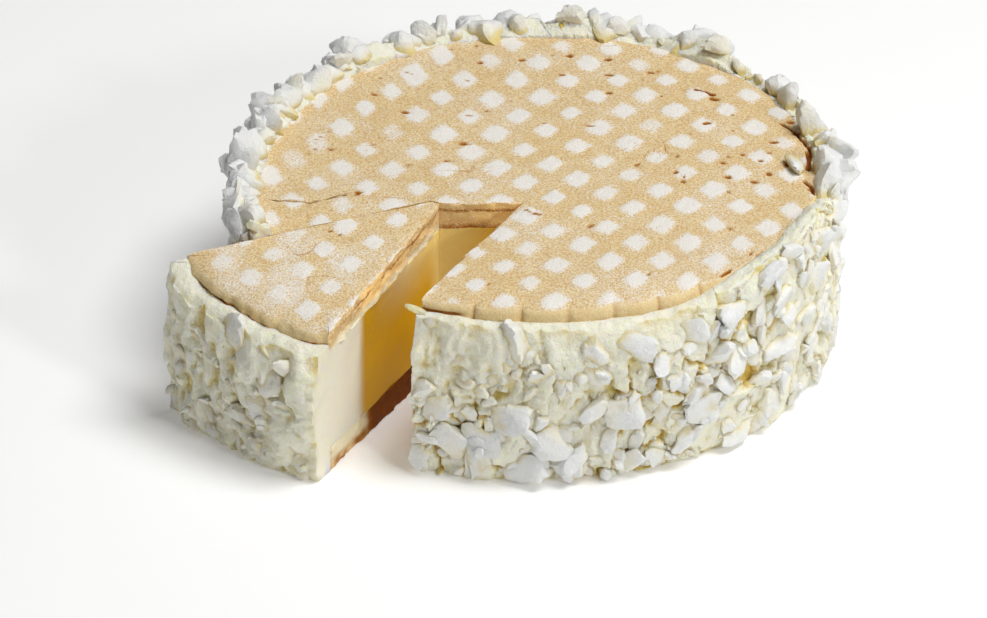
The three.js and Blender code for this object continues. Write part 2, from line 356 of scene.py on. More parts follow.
# ---- an outline as a ring of columns ----
CORNER_FADE = 9  # how far the round side's relief runs on into a cut, mm
CORNER_EASE = 5  # how many columns a cut's shape takes to become the round side's


class Ring:
    """The points of an outline, a step apart: its round side, anticlockwise from the last corner to
    the first, then the straight cuts through the corners in turn."""

    def __init__(self, centre, radius_at, corners, step):
        first = heading(corners[-1] - centre)
        sweep = (heading(corners[0] - centre) - first) % 360
        radius = np.linalg.norm(corners[0] - centre)
        count = round(math.radians(sweep) * radius / step)
        self.arc_angles = first + sweep * np.arange(count + 1) / count
        sides = [centre + radius_at(self.arc_angles)[:, None] * unit(self.arc_angles)]
        for k, (a, b) in enumerate(zip(corners, corners[1:])):
            pieces = max(3, math.ceil(np.linalg.norm(b - a) / step))
            share = np.arange(1 if k == 0 else 0, pieces)[:, None] / pieces
            sides.append(a + (b - a) * share)
        self.points = np.concatenate(sides)
        self.arc = count + 1
        self.count = len(self.points)
        self.angles = heading(self.points - centre)
        self.round = (np.arange(self.count) < self.arc).astype(float)
        along = np.roll(self.points, -1, 0) - np.roll(self.points, 1, 0)
        self.normals = np.stack([along[:, 1], -along[:, 0]], 1)
        self.normals /= np.linalg.norm(self.normals, axis=1)[:, None]
        moves = np.arange(1 - CORNER_EASE, CORNER_EASE)
        weights = CORNER_EASE - np.abs(moves)
        near = [w * np.roll(self.round, k) for k, w in zip(moves, weights)]
        self.rounded = sum(near) / weights.sum()  # the round side's share, eased across the corners
        beyond = np.arange(self.count) - (self.arc - 1)
        before = self.count - np.arange(self.count)
        self.end_fade = np.where(beyond > 0, np.clip(1 - beyond * step / CORNER_FADE, 0, 1), 0)
        self.start_fade = np.where(beyond > 0, np.clip(1 - before * step / CORNER_FADE, 0, 1), 0)

    def spread(self, moves):
        """Moves of the round side's columns, carried a little way into the cuts at both ends."""
        full = np.zeros((len(moves), self.count, 2))
        full[:, : self.arc] = moves
        full += moves[:, -1:] * self.end_fade[:, None] + moves[:, :1] * self.start_fade[:, None]
        return full


# ---- the cream coat's skin ----
SMEARED_ANGLE, SMEARED_WIDTH = -112, 17  # the stretch beside the notch where the coat is smeared smooth


def smeared_share(angle, z, low=26, high=50):
    """How far the coat is smeared over the meringue: a bell round its angle, from low to high up."""
    return np.exp(-((half_turn(angle - SMEARED_ANGLE) / SMEARED_WIDTH) ** 2)) * smooth(low, high, z)


def slabs(place, size, seed):
    """Broken slabs of meringue under the cream: each random cell is a flat face with its own height
    and tilt, and between cells runs a cleft. Gives the height and the cleft."""
    gap, offset, owner = cells(place, size, seed)
    key = owner[..., 0] * 31 + owner[..., 1] * 57
    tilt = 2 * np.stack([chance(key, 51), chance(key, 52)], -1) - 1
    height = 1.9 * (2 * chance(key, 53) - 1) + 3.4 * (offset * tilt).sum(-1)
    return height, 1 - smooth(0.02, 0.20, gap)


RELIEF = 4  # the coat's greatest relief, mm


def coat_relief(angle, z, radius, top, body):
    """How far the hand-spread cream stands out of its even wall, and how deep in a cleft a point
    lies: lumps of three sizes, smears stretched upright, and patches of broken slabs with clefts
    between them. The slice has more smears and hardly any slabs. The sum is held within RELIEF."""
    on_slice = float(body is SLICE)
    seed = body.seed
    p = with_height(unit(angle) * np.asarray(radius)[..., None], z)
    along = np.radians(angle) * radius
    calm = smeared_share(angle, z, 20, 46)
    shoulder = smooth(17, 8, top - z) * np.maximum(front_share(angle), on_slice)
    bent = 2.4 * np.stack([grain(p, 7, seed + 4), grain(p, 7, seed + 8)], -1)
    fine = 0.8 * np.stack([grain(p, 2.2, seed + 12), grain(p, 2.2, seed + 13)], -1)
    smear_width, smear_length = between(4.4, 6.2, on_slice), between(17, 22, on_slice)
    drawn = [(along + bent[..., 0]) / smear_width, (z + 2 * bent[..., 1]) / smear_length, 0 * z]
    lumps = 1.3 * grain(p, 15, seed) + 0.9 * grain(p, 6, seed + 1) + 0.75 * rough(p, 3.0, seed + 2, 2)
    smears = (0.45 + 1.7 * calm + 1.9 * on_slice) * rough(np.stack(drawn, -1), 1, seed + 3, 2)
    place = np.stack([along, between(0.72, 0.5, on_slice) * z], -1) + bent + fine
    height, cleft = slabs(place, between(9.0, 12.5, on_slice), seed + 5)
    patches = np.maximum(smooth(-0.5, 0.2, grain(p, 21, seed + 6)), 0.2 * on_slice)
    patches = patches * (1 - 0.7 * calm) * (1 - 0.8 * shoulder) * (1 - 0.5 * on_slice)
    relief = lumps * (1 + 0.5 * calm) * (1 - 0.3 * shoulder) + smears + patches * (height - 2.2 * cleft)
    return RELIEF * np.tanh(relief / RELIEF), cleft * patches


# The wall's foot and shoulder: how far it stands out, by its share of the height.
FOOT_SHARE = [0, 0.03, 0.09, 0.25, 0.42, 0.6, 0.78, 0.92, 1]
FOOT_OFFSET = [-1.6, -1.0, 0.2, 0.6, 0.8, 0.7, 0.4, -0.3, -1.6]


def coat_skin(angle, z, top, body):
    """The coat's radius at an angle and height, and its cleft: an even wall with a foot and a
    shoulder, then the hand's wave and the relief, which fades towards the front rim's edge."""
    angle = angle + 0 * z
    wall = body.wall(angle)
    fade = 1 - 0.35 * smooth(0.86, 1, z / top) * front_share(angle)
    relief, cleft = coat_relief(angle, z, wall, top, body)
    radius = wall + np.interp(z / top, FOOT_SHARE, FOOT_OFFSET) + wave(angle, z) + fade * relief
    return radius, cleft


# Height of the rim's top surface against its crest, by the distance out from the lid's edge.
LOW_RIM = ([-2.4, -1.6, 0, 2.0, 3.6, 5.0, 6.5], [-5.2, -1.4, -0.1, 0.0, -0.5, -1.6, -3.6])
HIGH_RIM = ([-3.4, -2.9, -2.4, -0.9, 0.8, 3, 5, 6.5], [-14, -14, -2.7, -2.0, -1.2, 0.5, 1.5, -0.8])
RIM_DROP = 2.6  # on the right the high rim is lower by this
UNDER_LID = -3.2  # from here inwards the cream lies under the lid


def rim_surface(xy, body):
    """Height of the cream's top surface: level under the lid, then over the rim to the wall, by one
    profile along the front and another elsewhere, with lumps. On the right it is lower, but in front
    of there it is piled up against the lid's edge."""
    angle = heading(xy - body.centre)
    out = np.linalg.norm(xy - body.centre, axis=-1) - body.lid(angle)
    flat = with_height(xy, 0)
    width = body.wall(angle) - body.lid(angle)
    across = np.where(out > 0, out * COAT_WIDTH / width, out - 0.7 * grain(flat, 5, body.seed + 9))
    turn = half_turn(angle)
    drop = RIM_DROP * smooth(-66, -50, turn) * (1 - smooth(40, 62, turn))
    piled = 1 - smooth(-20, -6, turn)
    crest = body.rim(angle)
    low = crest + np.interp(across, *LOW_RIM)
    high = crest + np.interp(across, *HIGH_RIM)
    high = high - drop * between(smooth(-1, 1, across), smooth(0.5, 4.5, across), piled)
    share = body.high(angle)
    uneven = between(0.9 if body is CAKE else 1.1, 1.5, share)
    lumps = uneven * rough(flat, 7, body.seed + 7) * smooth(-0.5, 2, across)
    height = between(low, high, share) + lumps
    return np.where(across < UNDER_LID, LID_UNDERSIDE, np.maximum(height, LID_UNDERSIDE))


def softened(field, passes):
    """A field on a grid with each point averaged with its four neighbours, over and over."""
    for _ in range(passes):
        wide = np.pad(field, 1, mode="edge")
        field = (wide[:-2, 1:-1] + wide[2:, 1:-1] + wide[1:-1, :-2] + wide[1:-1, 2:]) / 4
    return field


CREAM_STEP = 0.95
WALL_ROWS = 80
RIM_INSETS = np.arange(0.7, 14, 0.8)
FOOT_INSETS = np.array([11.0, 9.5, 5.0])
EDGE_INSET = 1.3  # the wall's top edge is as high as the rim's surface this far in


def cream_piece(name, material, body):
    """The cream as one closed shell round a hub: out from the hub along its underside, up the wall
    or the cut, and back over the rim and under the lid to the hub. A cut is flat but for a slight
    wave, and rougher at its outer ends. A point gets painted shade where it lies below the wall's
    softened surface, and painted golden shade in the deepest of these hollows and in the clefts."""
    ring = Ring(body.centre, body.wall, body.corners(body.wall), CREAM_STEP)
    wall_rows = slice(len(FOOT_INSETS), len(FOOT_INSETS) + WALL_ROWS)

    def bottom_at(xy):
        away = xy - body.centre
        return np.where(np.linalg.norm(away, axis=-1) < body.base(heading(away)), BASE_TOP, 0)

    def inwards(start, insets):
        toward = body.hub - start
        length = np.linalg.norm(toward, axis=-1)
        return start + insets[:, None, None] * (toward / length[:, None])

    rise = np.linspace(0, 1, WALL_ROWS)[:, None]
    edge = rim_surface(ring.points - EDGE_INSET * ring.round[:, None] * unit(ring.angles), body)
    z = bottom_at(ring.points) * (1 - ring.round) * (1 - rise) + edge * rise
    radius, cleft = coat_skin(ring.arc_angles, z[:, : ring.arc], edge[: ring.arc], body)
    moves = (radius - body.wall(ring.arc_angles))[..., None] * unit(ring.arc_angles)
    xy = ring.points + ring.spread(moves)
    skin = with_height(xy, z)
    drawn = 0.30 * grain(skin, 11, body.seed + 12) + 0.10 * grain(skin, 3, body.seed + 13)
    drawn = drawn + 0.7 * (ring.end_fade + ring.start_fade) * rough(skin, 6, body.seed + 14)
    xy = xy + (drawn * (1 - ring.round))[..., None] * ring.normals
    wall = with_height(xy, z)
    low = inwards(xy[0], FOOT_INSETS)
    high = inwards(xy[-1], RIM_INSETS)
    under = with_height(low, bottom_at(low))
    grid = np.concatenate([under, wall, with_height(high, rim_surface(high, body))])
    grid[wall_rows.stop - 1, :, 2] = rim_surface(xy[-1], body)

    sunk = softened(radius, 30) - radius
    # Painted shade: darker in every hollow of the wall, and golden in the clefts and in patches of the
    # deepest hollows.
    golden_shade_patch = smooth(0.0, 0.4, grain(wall[:, : ring.arc], 13, body.seed + 21))
    cut = np.broadcast_to(1 - ring.round, grid.shape[:2]).copy()
    fields = {"deep": np.zeros(grid.shape[:2]), "painted_hollow_shade": np.zeros(grid.shape[:2]), "cut": cut}
    fields["deep"][wall_rows, : ring.arc] = np.maximum(cleft, 0.8 * smooth(1.6, 2.8, sunk) * golden_shade_patch)
    fields["painted_hollow_shade"][wall_rows, : ring.arc] = smooth(0.0, 1.6, sunk)
    fields["stroke"] = 0.75 * grid[..., 2] + 0.66 * np.linalg.norm(grid[..., :2] - NOTCH_TIP, axis=-1)
    # Painted shade and light on the cuts: golden shade in the notch's slit, and light near the slice's tip.
    fields["painted_slit_shade_and_glow"] = cut * painted_slit_shade(grid)
    fields["painted_cut_light"] = cut * painted_tip_light(grid)
    poles = [[*body.hub, BASE_TOP], [*body.hub, LID_UNDERSIDE]]
    return shell_piece(name, grid, *poles, material, fields, body.sag)


def along_slit(p):
    """How far along the slit beside the slice a point is from the slice's tip, and 1 near the slit."""
    away = p[..., :2] - SLICE_TIP
    across = away @ unit(SLICE_RIGHT_ANGLE + 90)
    return away @ unit(SLICE_RIGHT_ANGLE), 1 - smooth(24, 38, np.abs(across))


def painted_slit_shade(p):
    """How much painted golden shade a point of the notch gets, coloured like warm bounced light:
    most low down in the narrow slit beside the slice, less on the notch's back face, and none at the slit's
    wide outer end."""
    along, beside = along_slit(p)
    open_top = smooth(38, 66, p[..., 2]) * (1 - smooth(20, 62, along))
    slit_shade = smooth(0, 14, along) * (1 - smooth(62, 68, along)) * (1 - 0.75 * open_top)
    back = (1 - smooth(0, 14, along)) * between(0.35, 1.0, smooth(-38, -14, p[..., 0]))
    return beside * np.maximum(slit_shade, back)


def painted_tip_light(p):
    """How much painted light the cut cream gets: most near the slice's tip, and an eighth of that
    farther out along the slit."""
    along, beside = along_slit(p)
    return beside * between(1.0, 0.12, smooth(10, 45, along)) * (1 - smooth(56, 66, along))


# ---- the biscuits ----
DOT_STEPS = np.array([[9.5, 14.5], [10.75, -15.0]])  # from diamond to diamond, along each way
DOT_HALF = np.array([5.0, 7.0])
DOT_POWER = 1.3  # 1 gives a straight-sided diamond and 2 an ellipse
# The sieve lay a little askew and bent: along each of its two ways the rows of dots are counted by
# a cubic in x and y, in decimetres, whose terms go 1, y, yy, yyy, x, xy, xyy, xx, xxy, xxx.
POWERS = [(0, 0), (0, 1), (0, 2), (0, 3), (1, 0), (1, 1), (1, 2), (2, 0), (2, 1), (3, 0)]
CAKE_SIEVE = np.array(
    [
        [-1.08, 3.99, -0.09, -0.08, 4.20, 0.29, 0.91, -0.19, -0.31, 0.65],
        [0.92, -3.66, 0.25, 0.08, 5.35, -0.38, -0.35, 0.07, 0.38, -0.40],
    ]
)
SLICE_SIEVE = np.array([[6.42, 5.01, 0, 0, 4.12, 0, 0, 0, 0, 0], [1.97, -3.62, 0, 0, 5.95, 0, 0, 0, 0, 0]])


def dots(xy, sieve):
    """Powdered sugar sieved through a lattice: how deep in its diamond a point is, 1 at the middle,
    by the p-norm of its ragged offset, each diamond moved, sized and filled a little by chance."""
    x, y = xy[..., 0] / 100, xy[..., 1] / 100
    count = sum(sieve[:, k] * (x**m * y**n)[..., None] for k, (m, n) in enumerate(POWERS))
    cell = np.round(count)
    key = cell[..., 0] * 57 + cell[..., 1]
    away = (count - cell) @ DOT_STEPS + 1.2 * (np.stack([chance(key, 1), chance(key, 2)], -1) - 0.5)
    ragged = 0.7 * np.stack([grain(with_height(xy, 0), 3.1, s) for s in (61, 62)], -1)
    size = between(0.84, 1.14, chance(key, 3))[..., None] * DOT_HALF
    far = (np.abs((away + ragged) / size) ** DOT_POWER).sum(-1) ** (1 / DOT_POWER)
    strength = between(0.7, 1.0, chance(key, 4)) - 0.3 * (chance(key, 5) < 0.15)
    return strength * (1 - smooth(0.5, 1.28, far))


# The larger pits: x, y and length.
PITS = [
    (95.2, 0.8, 3.2), (-32.7, 16.7, 2.4), (103.3, -18.7, 2.6), (-56.4, 41.5, 2.4), (99.2, 26.4, 2.6),
    (9.8, 89.2, 2.2), (90.2, 19.1, 2.2), (25.7, 86.0, 2.0), (87.1, -6.4, 2.2), (6.9, 73.0, 1.8),
    (81.0, -12.7, 2.0), (70.6, -8.9, 1.8), (-68.3, 55.3, 2.0), (-56.5, 89.1, 2.2), (25.9, 73.3, 1.8),
    (67.7, 53.8, 2.4), (53.3, -13.1, 1.6), (-38.8, 3.0, 1.8), (17.2, 31.0, 1.8), (64.2, 34.1, 2.0),
    (51.5, 7.4, 1.6), (-84.6, 11.2, 1.6), (97.3, 35.3, 2.0), (69.0, 2.1, 1.6), (-26.3, 83.6, 1.8),
    (-9.3, 85.5, 1.6), (50.4, -5.3, 1.6), (42.5, 76.0, 1.8), (-53.7, -0.3, 1.6), (84.0, 3.8, 1.6),
    (87.8, 10.3, 1.8), (71.5, 6.9, 1.6), (25.6, 58.2, 1.6), (70.3, -48.2, 1.6), (17.0, -47.4, 1.6),
    (-73.1, -22.5, 1.6),
]
SMALL_PITS = 40
# Breaks in the crust: x and y of both ends, width and depth.
BREAKS = [
    (94, 34, 100.6, 23.2, 0.9, 1.6), (100.6, 23.2, 105.2, 11.3, 1.1, 3.0),
    (104, 11.3, 103.2, -2.2, 1.4, 3.0), (101.2, -12.5, 105.2, -26.4, 1.1, 2.4),
    (92.0, -51.7, 97.4, -43.3, 0.7, 1.0), (80, -69.5, 82, -66, 1.0, 1.4),
    (66, -82.6, 70, -79.5, 0.9, 1.2), (-7.9, -35.9, -2.6, -40.4, 0.7, 0.9), (60, 61, 68, 57, 0.8, 1.2),
]


def pits(xy):
    """Small baked-through pits: how near a point is to the nearest of them, 1 at it. Each is a ragged
    oval, turned by chance, and the small ones lie anywhere on the lid."""
    field = np.zeros(xy.shape[:-1])
    ragged = 0.4 * grain(with_height(xy, 0), 1.7, 83)
    for k in range(len(PITS) + SMALL_PITS):
        if k < len(PITS):
            x, y, long = PITS[k]
        else:
            x, y = 103 * math.sqrt(chance(k, 41)) * unit(360 * chance(k, 42))
            long = between(0.7, 1.3, chance(k, 43))
        turn = unit(40 * (chance(k, 44) - 0.5))
        away = xy - [x, y]
        local = np.stack([away @ turn, away @ np.array([-turn[1], turn[0]])], -1) / [long * 0.9, long * 0.6]
        field = np.maximum(field, 1 - smooth(0.2, 1.2, np.linalg.norm(local, axis=-1) + ragged))
    return field


def breaks(xy):
    """Breaks in the crust along short bent lines: how near a point is to one, 1 on it, and its depth."""
    bent = xy + 1.1 * np.stack([rough(with_height(xy, 0), 4, s, 2) for s in (81, 82)], -1)
    near, depth = np.zeros(xy.shape[:-1]), np.zeros(xy.shape[:-1])
    for x0, y0, x1, y1, width, drop in BREAKS:
        start, way = np.array([x0, y0]), np.array([x1 - x0, y1 - y0])
        t = np.clip(((bent - start) @ way) / (way @ way), 0, 1)
        gap = np.linalg.norm(bent - start - t[..., None] * way, axis=-1) / width
        here = 1 - smooth(0.3, 1.0, gap)
        near = np.maximum(near, here)
        depth = np.maximum(depth, 0.6 * here * drop)
    return near, depth


def baked_top(xy, seed, sieve):
    """The lid's top: its relief, sugar and brown. It is nearly flat, with a grainy skin, pits and
    short cracks, and the sugar lies on it as a low heap."""
    flat = with_height(xy, 0)
    sugar = dots(xy, sieve)
    pit = pits(xy)
    broken, drop = breaks(xy)
    crack_line = np.abs(rough(flat, 17, seed + 3))
    crack = (1 - smooth(0.0, 0.035, crack_line)) * smooth(0.35, 0.6, grain(flat, 21, seed + 5))
    relief = 0.35 * grain(flat, 26, seed) + 0.16 * rough(flat, 4, seed + 1) + 0.25 * sugar
    relief = relief - 0.9 * pit - 0.35 * crack - drop
    brown_and_shade = np.maximum(np.maximum(1.05 * pit**0.7, 1.25 * broken), 0.6 * crack)
    return relief, sugar * (1 - np.maximum(pit, broken)), brown_and_shade


def scallops(angle):
    """The lid's front edge as a row of blocks: how far it is set back, with a sharp nick at each
    block's end and blocks that round off towards their nicks, and how deep in a nick it is."""
    place = (half_turn(angle) - SCALLOP_START) / SCALLOP_STEP
    across = np.abs(place - np.round(place)) * 2
    there = smooth(-1.2, -0.6, place) * (1 - smooth(SCALLOP_COUNT - 0.6, SCALLOP_COUNT + 0.2, place))
    nick = 1 - smooth(0, 0.10, across)
    return there * (1.0 * nick + 1.1 * (1 - across) ** 2.2), there * nick


# How far a lid's edge stands in, by its share of the height.
LID_EDGE_RISE = [0, 0.3, 0.55, 0.75, 0.87, 0.95, 1]
LID_EDGE_FRONT = [0, 0, -0.1, -0.25, -0.5, -0.9, -1.5]
LID_EDGE_BACK = [0, 0, -0.1, -0.2, -0.4, -0.7, -1.2]
LID_STEP = 1.15
LID_ROWS = 96
EDGE_ROWS = 12
UNDER_SHARES = np.array([0.6, 0.06])[:, None, None]  # how far towards the hub the underside's rows lie


def lid_piece(name, material, body, hub, corners, front_at, sieve, seed, rows=LID_ROWS):
    """A lid biscuit as one closed shell: out along its underside, up its edge or cut, and in over
    its top to the hub. Its front edge is rounded and lower, a cut is torn, and the cut that is still
    closed beside the slice stays even. The cake has scallops and a torn corner; the slice's edge is
    crumblier, sugar has spread over its outer half, and where it meets the rim it is browned and
    darkened with painted shade. On a cut, painted golden light lies deep in the notch."""
    on_slice = body is SLICE
    ring = Ring(body.centre, body.lid, corners, LID_STEP)
    rise = np.linspace(0, 1, EDGE_ROWS)[:, None]
    z = LID_UNDERSIDE + rise * LID_THICKNESS + 0 * ring.angles
    front = front_at(ring.angles)
    back = np.interp(rise, LID_EDGE_RISE, LID_EDGE_BACK)
    inset = between(back, np.interp(rise, LID_EDGE_RISE, LID_EDGE_FRONT), front)
    set_back, nick = scallops(ring.angles)
    corner = torn_corner(ring.angles)
    groove = smooth(0.46, 0.56, rise) * (1 - smooth(0.66, 0.76, rise)) * corner
    if not on_slice:
        inset = inset - (set_back * (1 - corner) + 0.9 * groove) * front
    xy = ring.points + (inset * ring.round)[..., None] * unit(ring.angles)
    skin = with_height(xy, z)
    free = smooth(1.5, 4, np.abs(beside_cut(ring.points)))
    torn = (0.45 * rough(skin, 3.2, seed + 21) + 0.35 * grain(skin, 1.7, seed + 22)) * free
    torn = torn * (1.5 if on_slice else 1)
    crumbly = 0.9 * rough(skin, 5, seed + 23) if on_slice else 0.35 * rough(skin, 6, seed + 23)
    xy = xy + np.where(ring.round > 0, crumbly, torn)[..., None] * ring.normals

    q = (np.arange(rows) + 0.6)[:, None, None] / rows
    over = xy[-1] + (hub - xy[-1]) * q
    relief, sugar, brown_and_shade = baked_top(over, seed, sieve)
    if on_slice:
        outer = smooth(42, 66, np.linalg.norm(over - SLICE_TIP, axis=-1))
        spread = 0.36 * outer * smooth(-0.5, 0.4, grain(with_height(over, 0), 11, 33))
        sugar = np.maximum(sugar * (1 - 0.25 * outer), spread)
    inward = np.linalg.norm(over - xy[-1], axis=-1)
    shoulder = np.exp(-inward / 1.6)
    edge_share = ring.rounded * front
    rounding = -shoulder * 0.7 * (1 - ring.rounded) * free - 2.0 * np.exp(-inward / 4.2) * edge_share
    top = with_height(over, TOP + relief + rounding)
    under = xy[0] + (hub - xy[0]) * UNDER_SHARES
    grid = np.concatenate([with_height(under, LID_UNDERSIDE), with_height(xy, z), top])
    lead = len(under) + EDGE_ROWS
    edge_rows = slice(len(under), lead)
    fallen = 2.1 * edge_share + 0.8 * (1 - ring.rounded) * free
    grid[lead - 1, :, 2] += relief[0]
    grid[edge_rows, :, 2] -= fallen * smooth(0.3, 1, rise)

    names = ("sugar", "brown_and_shade", "cut", "layer", "side", "pale")
    fields = {key: np.zeros(grid.shape[:2]) for key in names}
    fields["sugar"][lead:] = sugar * (1 - 0.8 * shoulder * front * ring.round)
    fields["brown_and_shade"][lead:] = brown_and_shade
    fields["cut"][:lead] = 1 - ring.round
    fields["side"][:lead] = ring.round
    fields["layer"][edge_rows] = rise
    fields["layer"][lead:] = 1
    if on_slice:
        # Brown and painted shade along the slice lid's foot, where it meets the rim.
        above = z - body.rim(ring.angles) - 0.9 * rough(skin, 5, seed + 32)
        browned_and_shaded_foot = (1 - smooth(0.3, 1.5, above)) * ring.round
        fields["brown_and_shade"][edge_rows] = browned_and_shaded_foot * smooth(-0.7, 0.1, grain(skin, 9, seed + 31))
        fields["pale"][edge_rows] = (1 - smooth(0.0, 0.45, rise)) * (1 - ring.round)
    else:
        scorched = 0.8 * groove * smooth(-0.6, 0.3, grain(skin, 3, 48)) * ring.round
        fields["brown_and_shade"][edge_rows] = np.maximum(0.4 * nick * front, scorched)
    # Painted golden light on the cut deep in the notch.
    fields["painted_slit_shade_and_glow"] = fields["cut"] * painted_slit_shade(grid)
    poles = [[*hub, LID_UNDERSIDE], [*hub, TOP]]
    return shell_piece(name, grid, *poles, material, fields, body.sag)


BASE_STEP = 1.3


def base_piece(name, material, body, seed):
    """A base biscuit as one closed shell, with a torn, crumbly cut. Deep in the slit it is darkened
    brown with painted shade, and outside it cream has been dragged down over it, with brown crumbs
    low down."""
    ring = Ring(body.centre, body.base, body.corners(body.base), BASE_STEP)
    rise = np.linspace(0, 1, EDGE_ROWS)[:, None]
    z = rise * BASE_TOP + 0 * ring.angles
    skin = with_height(ring.points + np.zeros((EDGE_ROWS, 1, 1)), z)
    torn = 0.6 * rough(skin, 3.4, seed) + 0.4 * grain(skin, 1.8, seed + 5)
    xy = ring.points + (torn * (1 - ring.round))[..., None] * ring.normals
    under = xy[0] + (body.hub - xy[0]) * UNDER_SHARES
    over = xy[-1] + (body.hub - xy[-1]) * UNDER_SHARES[::-1]
    grid = np.concatenate([with_height(under, 0), with_height(xy, z), with_height(over, BASE_TOP)])
    cut = np.broadcast_to(1 - ring.round, grid.shape[:2])
    outer = smooth(57, 64, (grid[..., :2] - SLICE_TIP) @ unit(SLICE_RIGHT_ANGLE))
    crumbs = 0.7 * smooth(7, 2, grid[..., 2]) * smooth(-0.3, 0.5, grain(grid, 3, 47)) * outer
    # Painted brown shade on the cut deep in the slit, darkest low down where it is narrowest.
    brown_and_shade = np.maximum((0.15 + 1.0 * painted_slit_shade(grid)) * (1 - outer), crumbs)
    dragged = outer * smooth(2.5, 7, grid[..., 2]) * cut
    fields = {"cut": cut, "layer": 0 * cut + 0.5, "brown_and_shade": brown_and_shade, "pale": dragged}
    poles = [[*body.hub, 0], [*body.hub, BASE_TOP]]
    return shell_piece(name, grid, *poles, material, fields, body.sag)


# ---- broken meringue ----
def turning(angle, axis):
    """Rotation matrices about one axis, for an array of angles in radians."""
    c, s = np.cos(angle), np.sin(angle)
    made = np.zeros((*np.shape(angle), 3, 3))
    a, b = (axis + 1) % 3, (axis + 2) % 3
    made[..., axis, axis] = 1
    made[..., a, a] = made[..., b, b] = c
    made[..., a, b] = -s
    made[..., b, a] = s
    return made


def chunk_shapes(seeds, halves, around, along, crispness):
    """Convex broken lumps on a grid of directions, with poles. Each is bounded by six faces of a
    skewed box and four more that break its corners, and in each direction its radius is the inverse
    of the p-norm of that direction's share of every face, which rounds the edges. The skin is a
    little rough."""
    theta = np.pi * (np.arange(along) + 0.75) / (along + 0.5)
    phi = 2 * np.pi * np.arange(around) / around
    across = np.stack([np.cos(phi), np.sin(phi)], -1) * np.sin(theta)[:, None, None]
    rings = with_height(across, np.cos(theta)[:, None]).reshape(-1, 3)
    rays = np.concatenate([[[0, 0, 1.0]], rings, [[0, 0, -1.0]]])
    seeds = np.asarray(seeds, float)[:, None, None]
    skew = 0.34 * (2 * chance(seeds, 100 + np.arange(18).reshape(1, 6, 3)) - 1)
    sides = np.concatenate([np.eye(3), -np.eye(3)]) + skew
    corners = 2 * chance(seeds, 130 + np.arange(12).reshape(1, 4, 3)) - 1
    corners = np.sign(corners) * (0.45 + 0.6 * np.abs(corners))
    faces = np.concatenate([sides, corners], 1)
    faces /= np.linalg.norm(faces, axis=-1, keepdims=True)
    side_reach = between(0.72, 0.98, chance(seeds, 160 + np.arange(6).reshape(1, 6, 1)))
    corner_reach = between(0.92, 1.2, chance(seeds, 170 + np.arange(4).reshape(1, 4, 1)))
    reach = np.concatenate([side_reach, corner_reach], 1)
    share = np.maximum(np.einsum("vk,nfk->nvf", rays, faces), 0) / reach[..., 0][:, None]
    power = crispness * between(0.45, 1.0, chance(seeds, 180)[..., 0])
    radius = (share ** power[..., None]).sum(-1) ** (-1 / power)
    radius = radius * (1 + 0.17 * rough(rays + 3.7 * seeds, 0.55, 8, 2))
    return rays * radius[..., None] * halves[:, None, :]


def chunk_faces(count, around, along):
    """Faces of many such lumps, one after another."""
    here = 1 + np.arange(along * around).reshape(along, around)
    beside = np.roll(here, -1, 1)
    quads = np.stack([here[:-1], here[1:], beside[1:], beside[:-1]], -1).reshape(-1, 4)
    top = np.stack([np.zeros(around, int), here[0], beside[0]], -1)
    bottom = np.stack([np.full(around, along * around + 1), beside[-1], here[-1]], -1)
    jump = (np.arange(count) * (along * around + 2))[:, None, None]
    return [(f + jump).reshape(-1, f.shape[1]) for f in (quads, top, bottom)]


class Shards:
    """A batch of broken meringue: seeds, lengths, widths and depths, and the angles, radii and
    heights of their places. Each lies flat on the wall, tipped either way by up to tip and spun about
    the wall's normal by up to spin, in radians, or has the turns that it is given."""

    def __init__(
        self, seeds, length, width, depth, angle, radius, height, tip=0, spin=2 * np.pi, turns=None
    ):
        self.seeds = np.asarray(seeds, float)
        self.halves = np.stack([length, width, depth], -1) / 2
        self.angle, self.radius, self.height = np.asarray([angle, radius, height], float)
        lean = [turning(tip * (2 * chance(self.seeds, k) - 1), axis) for k, axis in ((3, 1), (2, 0))]
        upright = turning(np.full(len(self.seeds), np.pi / 2), 1)
        spun = turning(spin * chance(self.seeds, 1), 2)
        self.turns = turning(np.radians(angle), 2) @ upright @ lean[0] @ lean[1] @ spun
        if turns is not None:
            self.turns = turns


# A shard more than STOP_START along a cut that reaches less than STOP_DEPTH beyond it is moved back
# until it reaches STOP_ROOM beyond it, in mm.
STOP_START, STOP_DEPTH, STOP_ROOM = 50, 16, 1.2
SMEAR_DEPTH = 5.5  # cream covers meringue this deep where the coat is smeared smooth


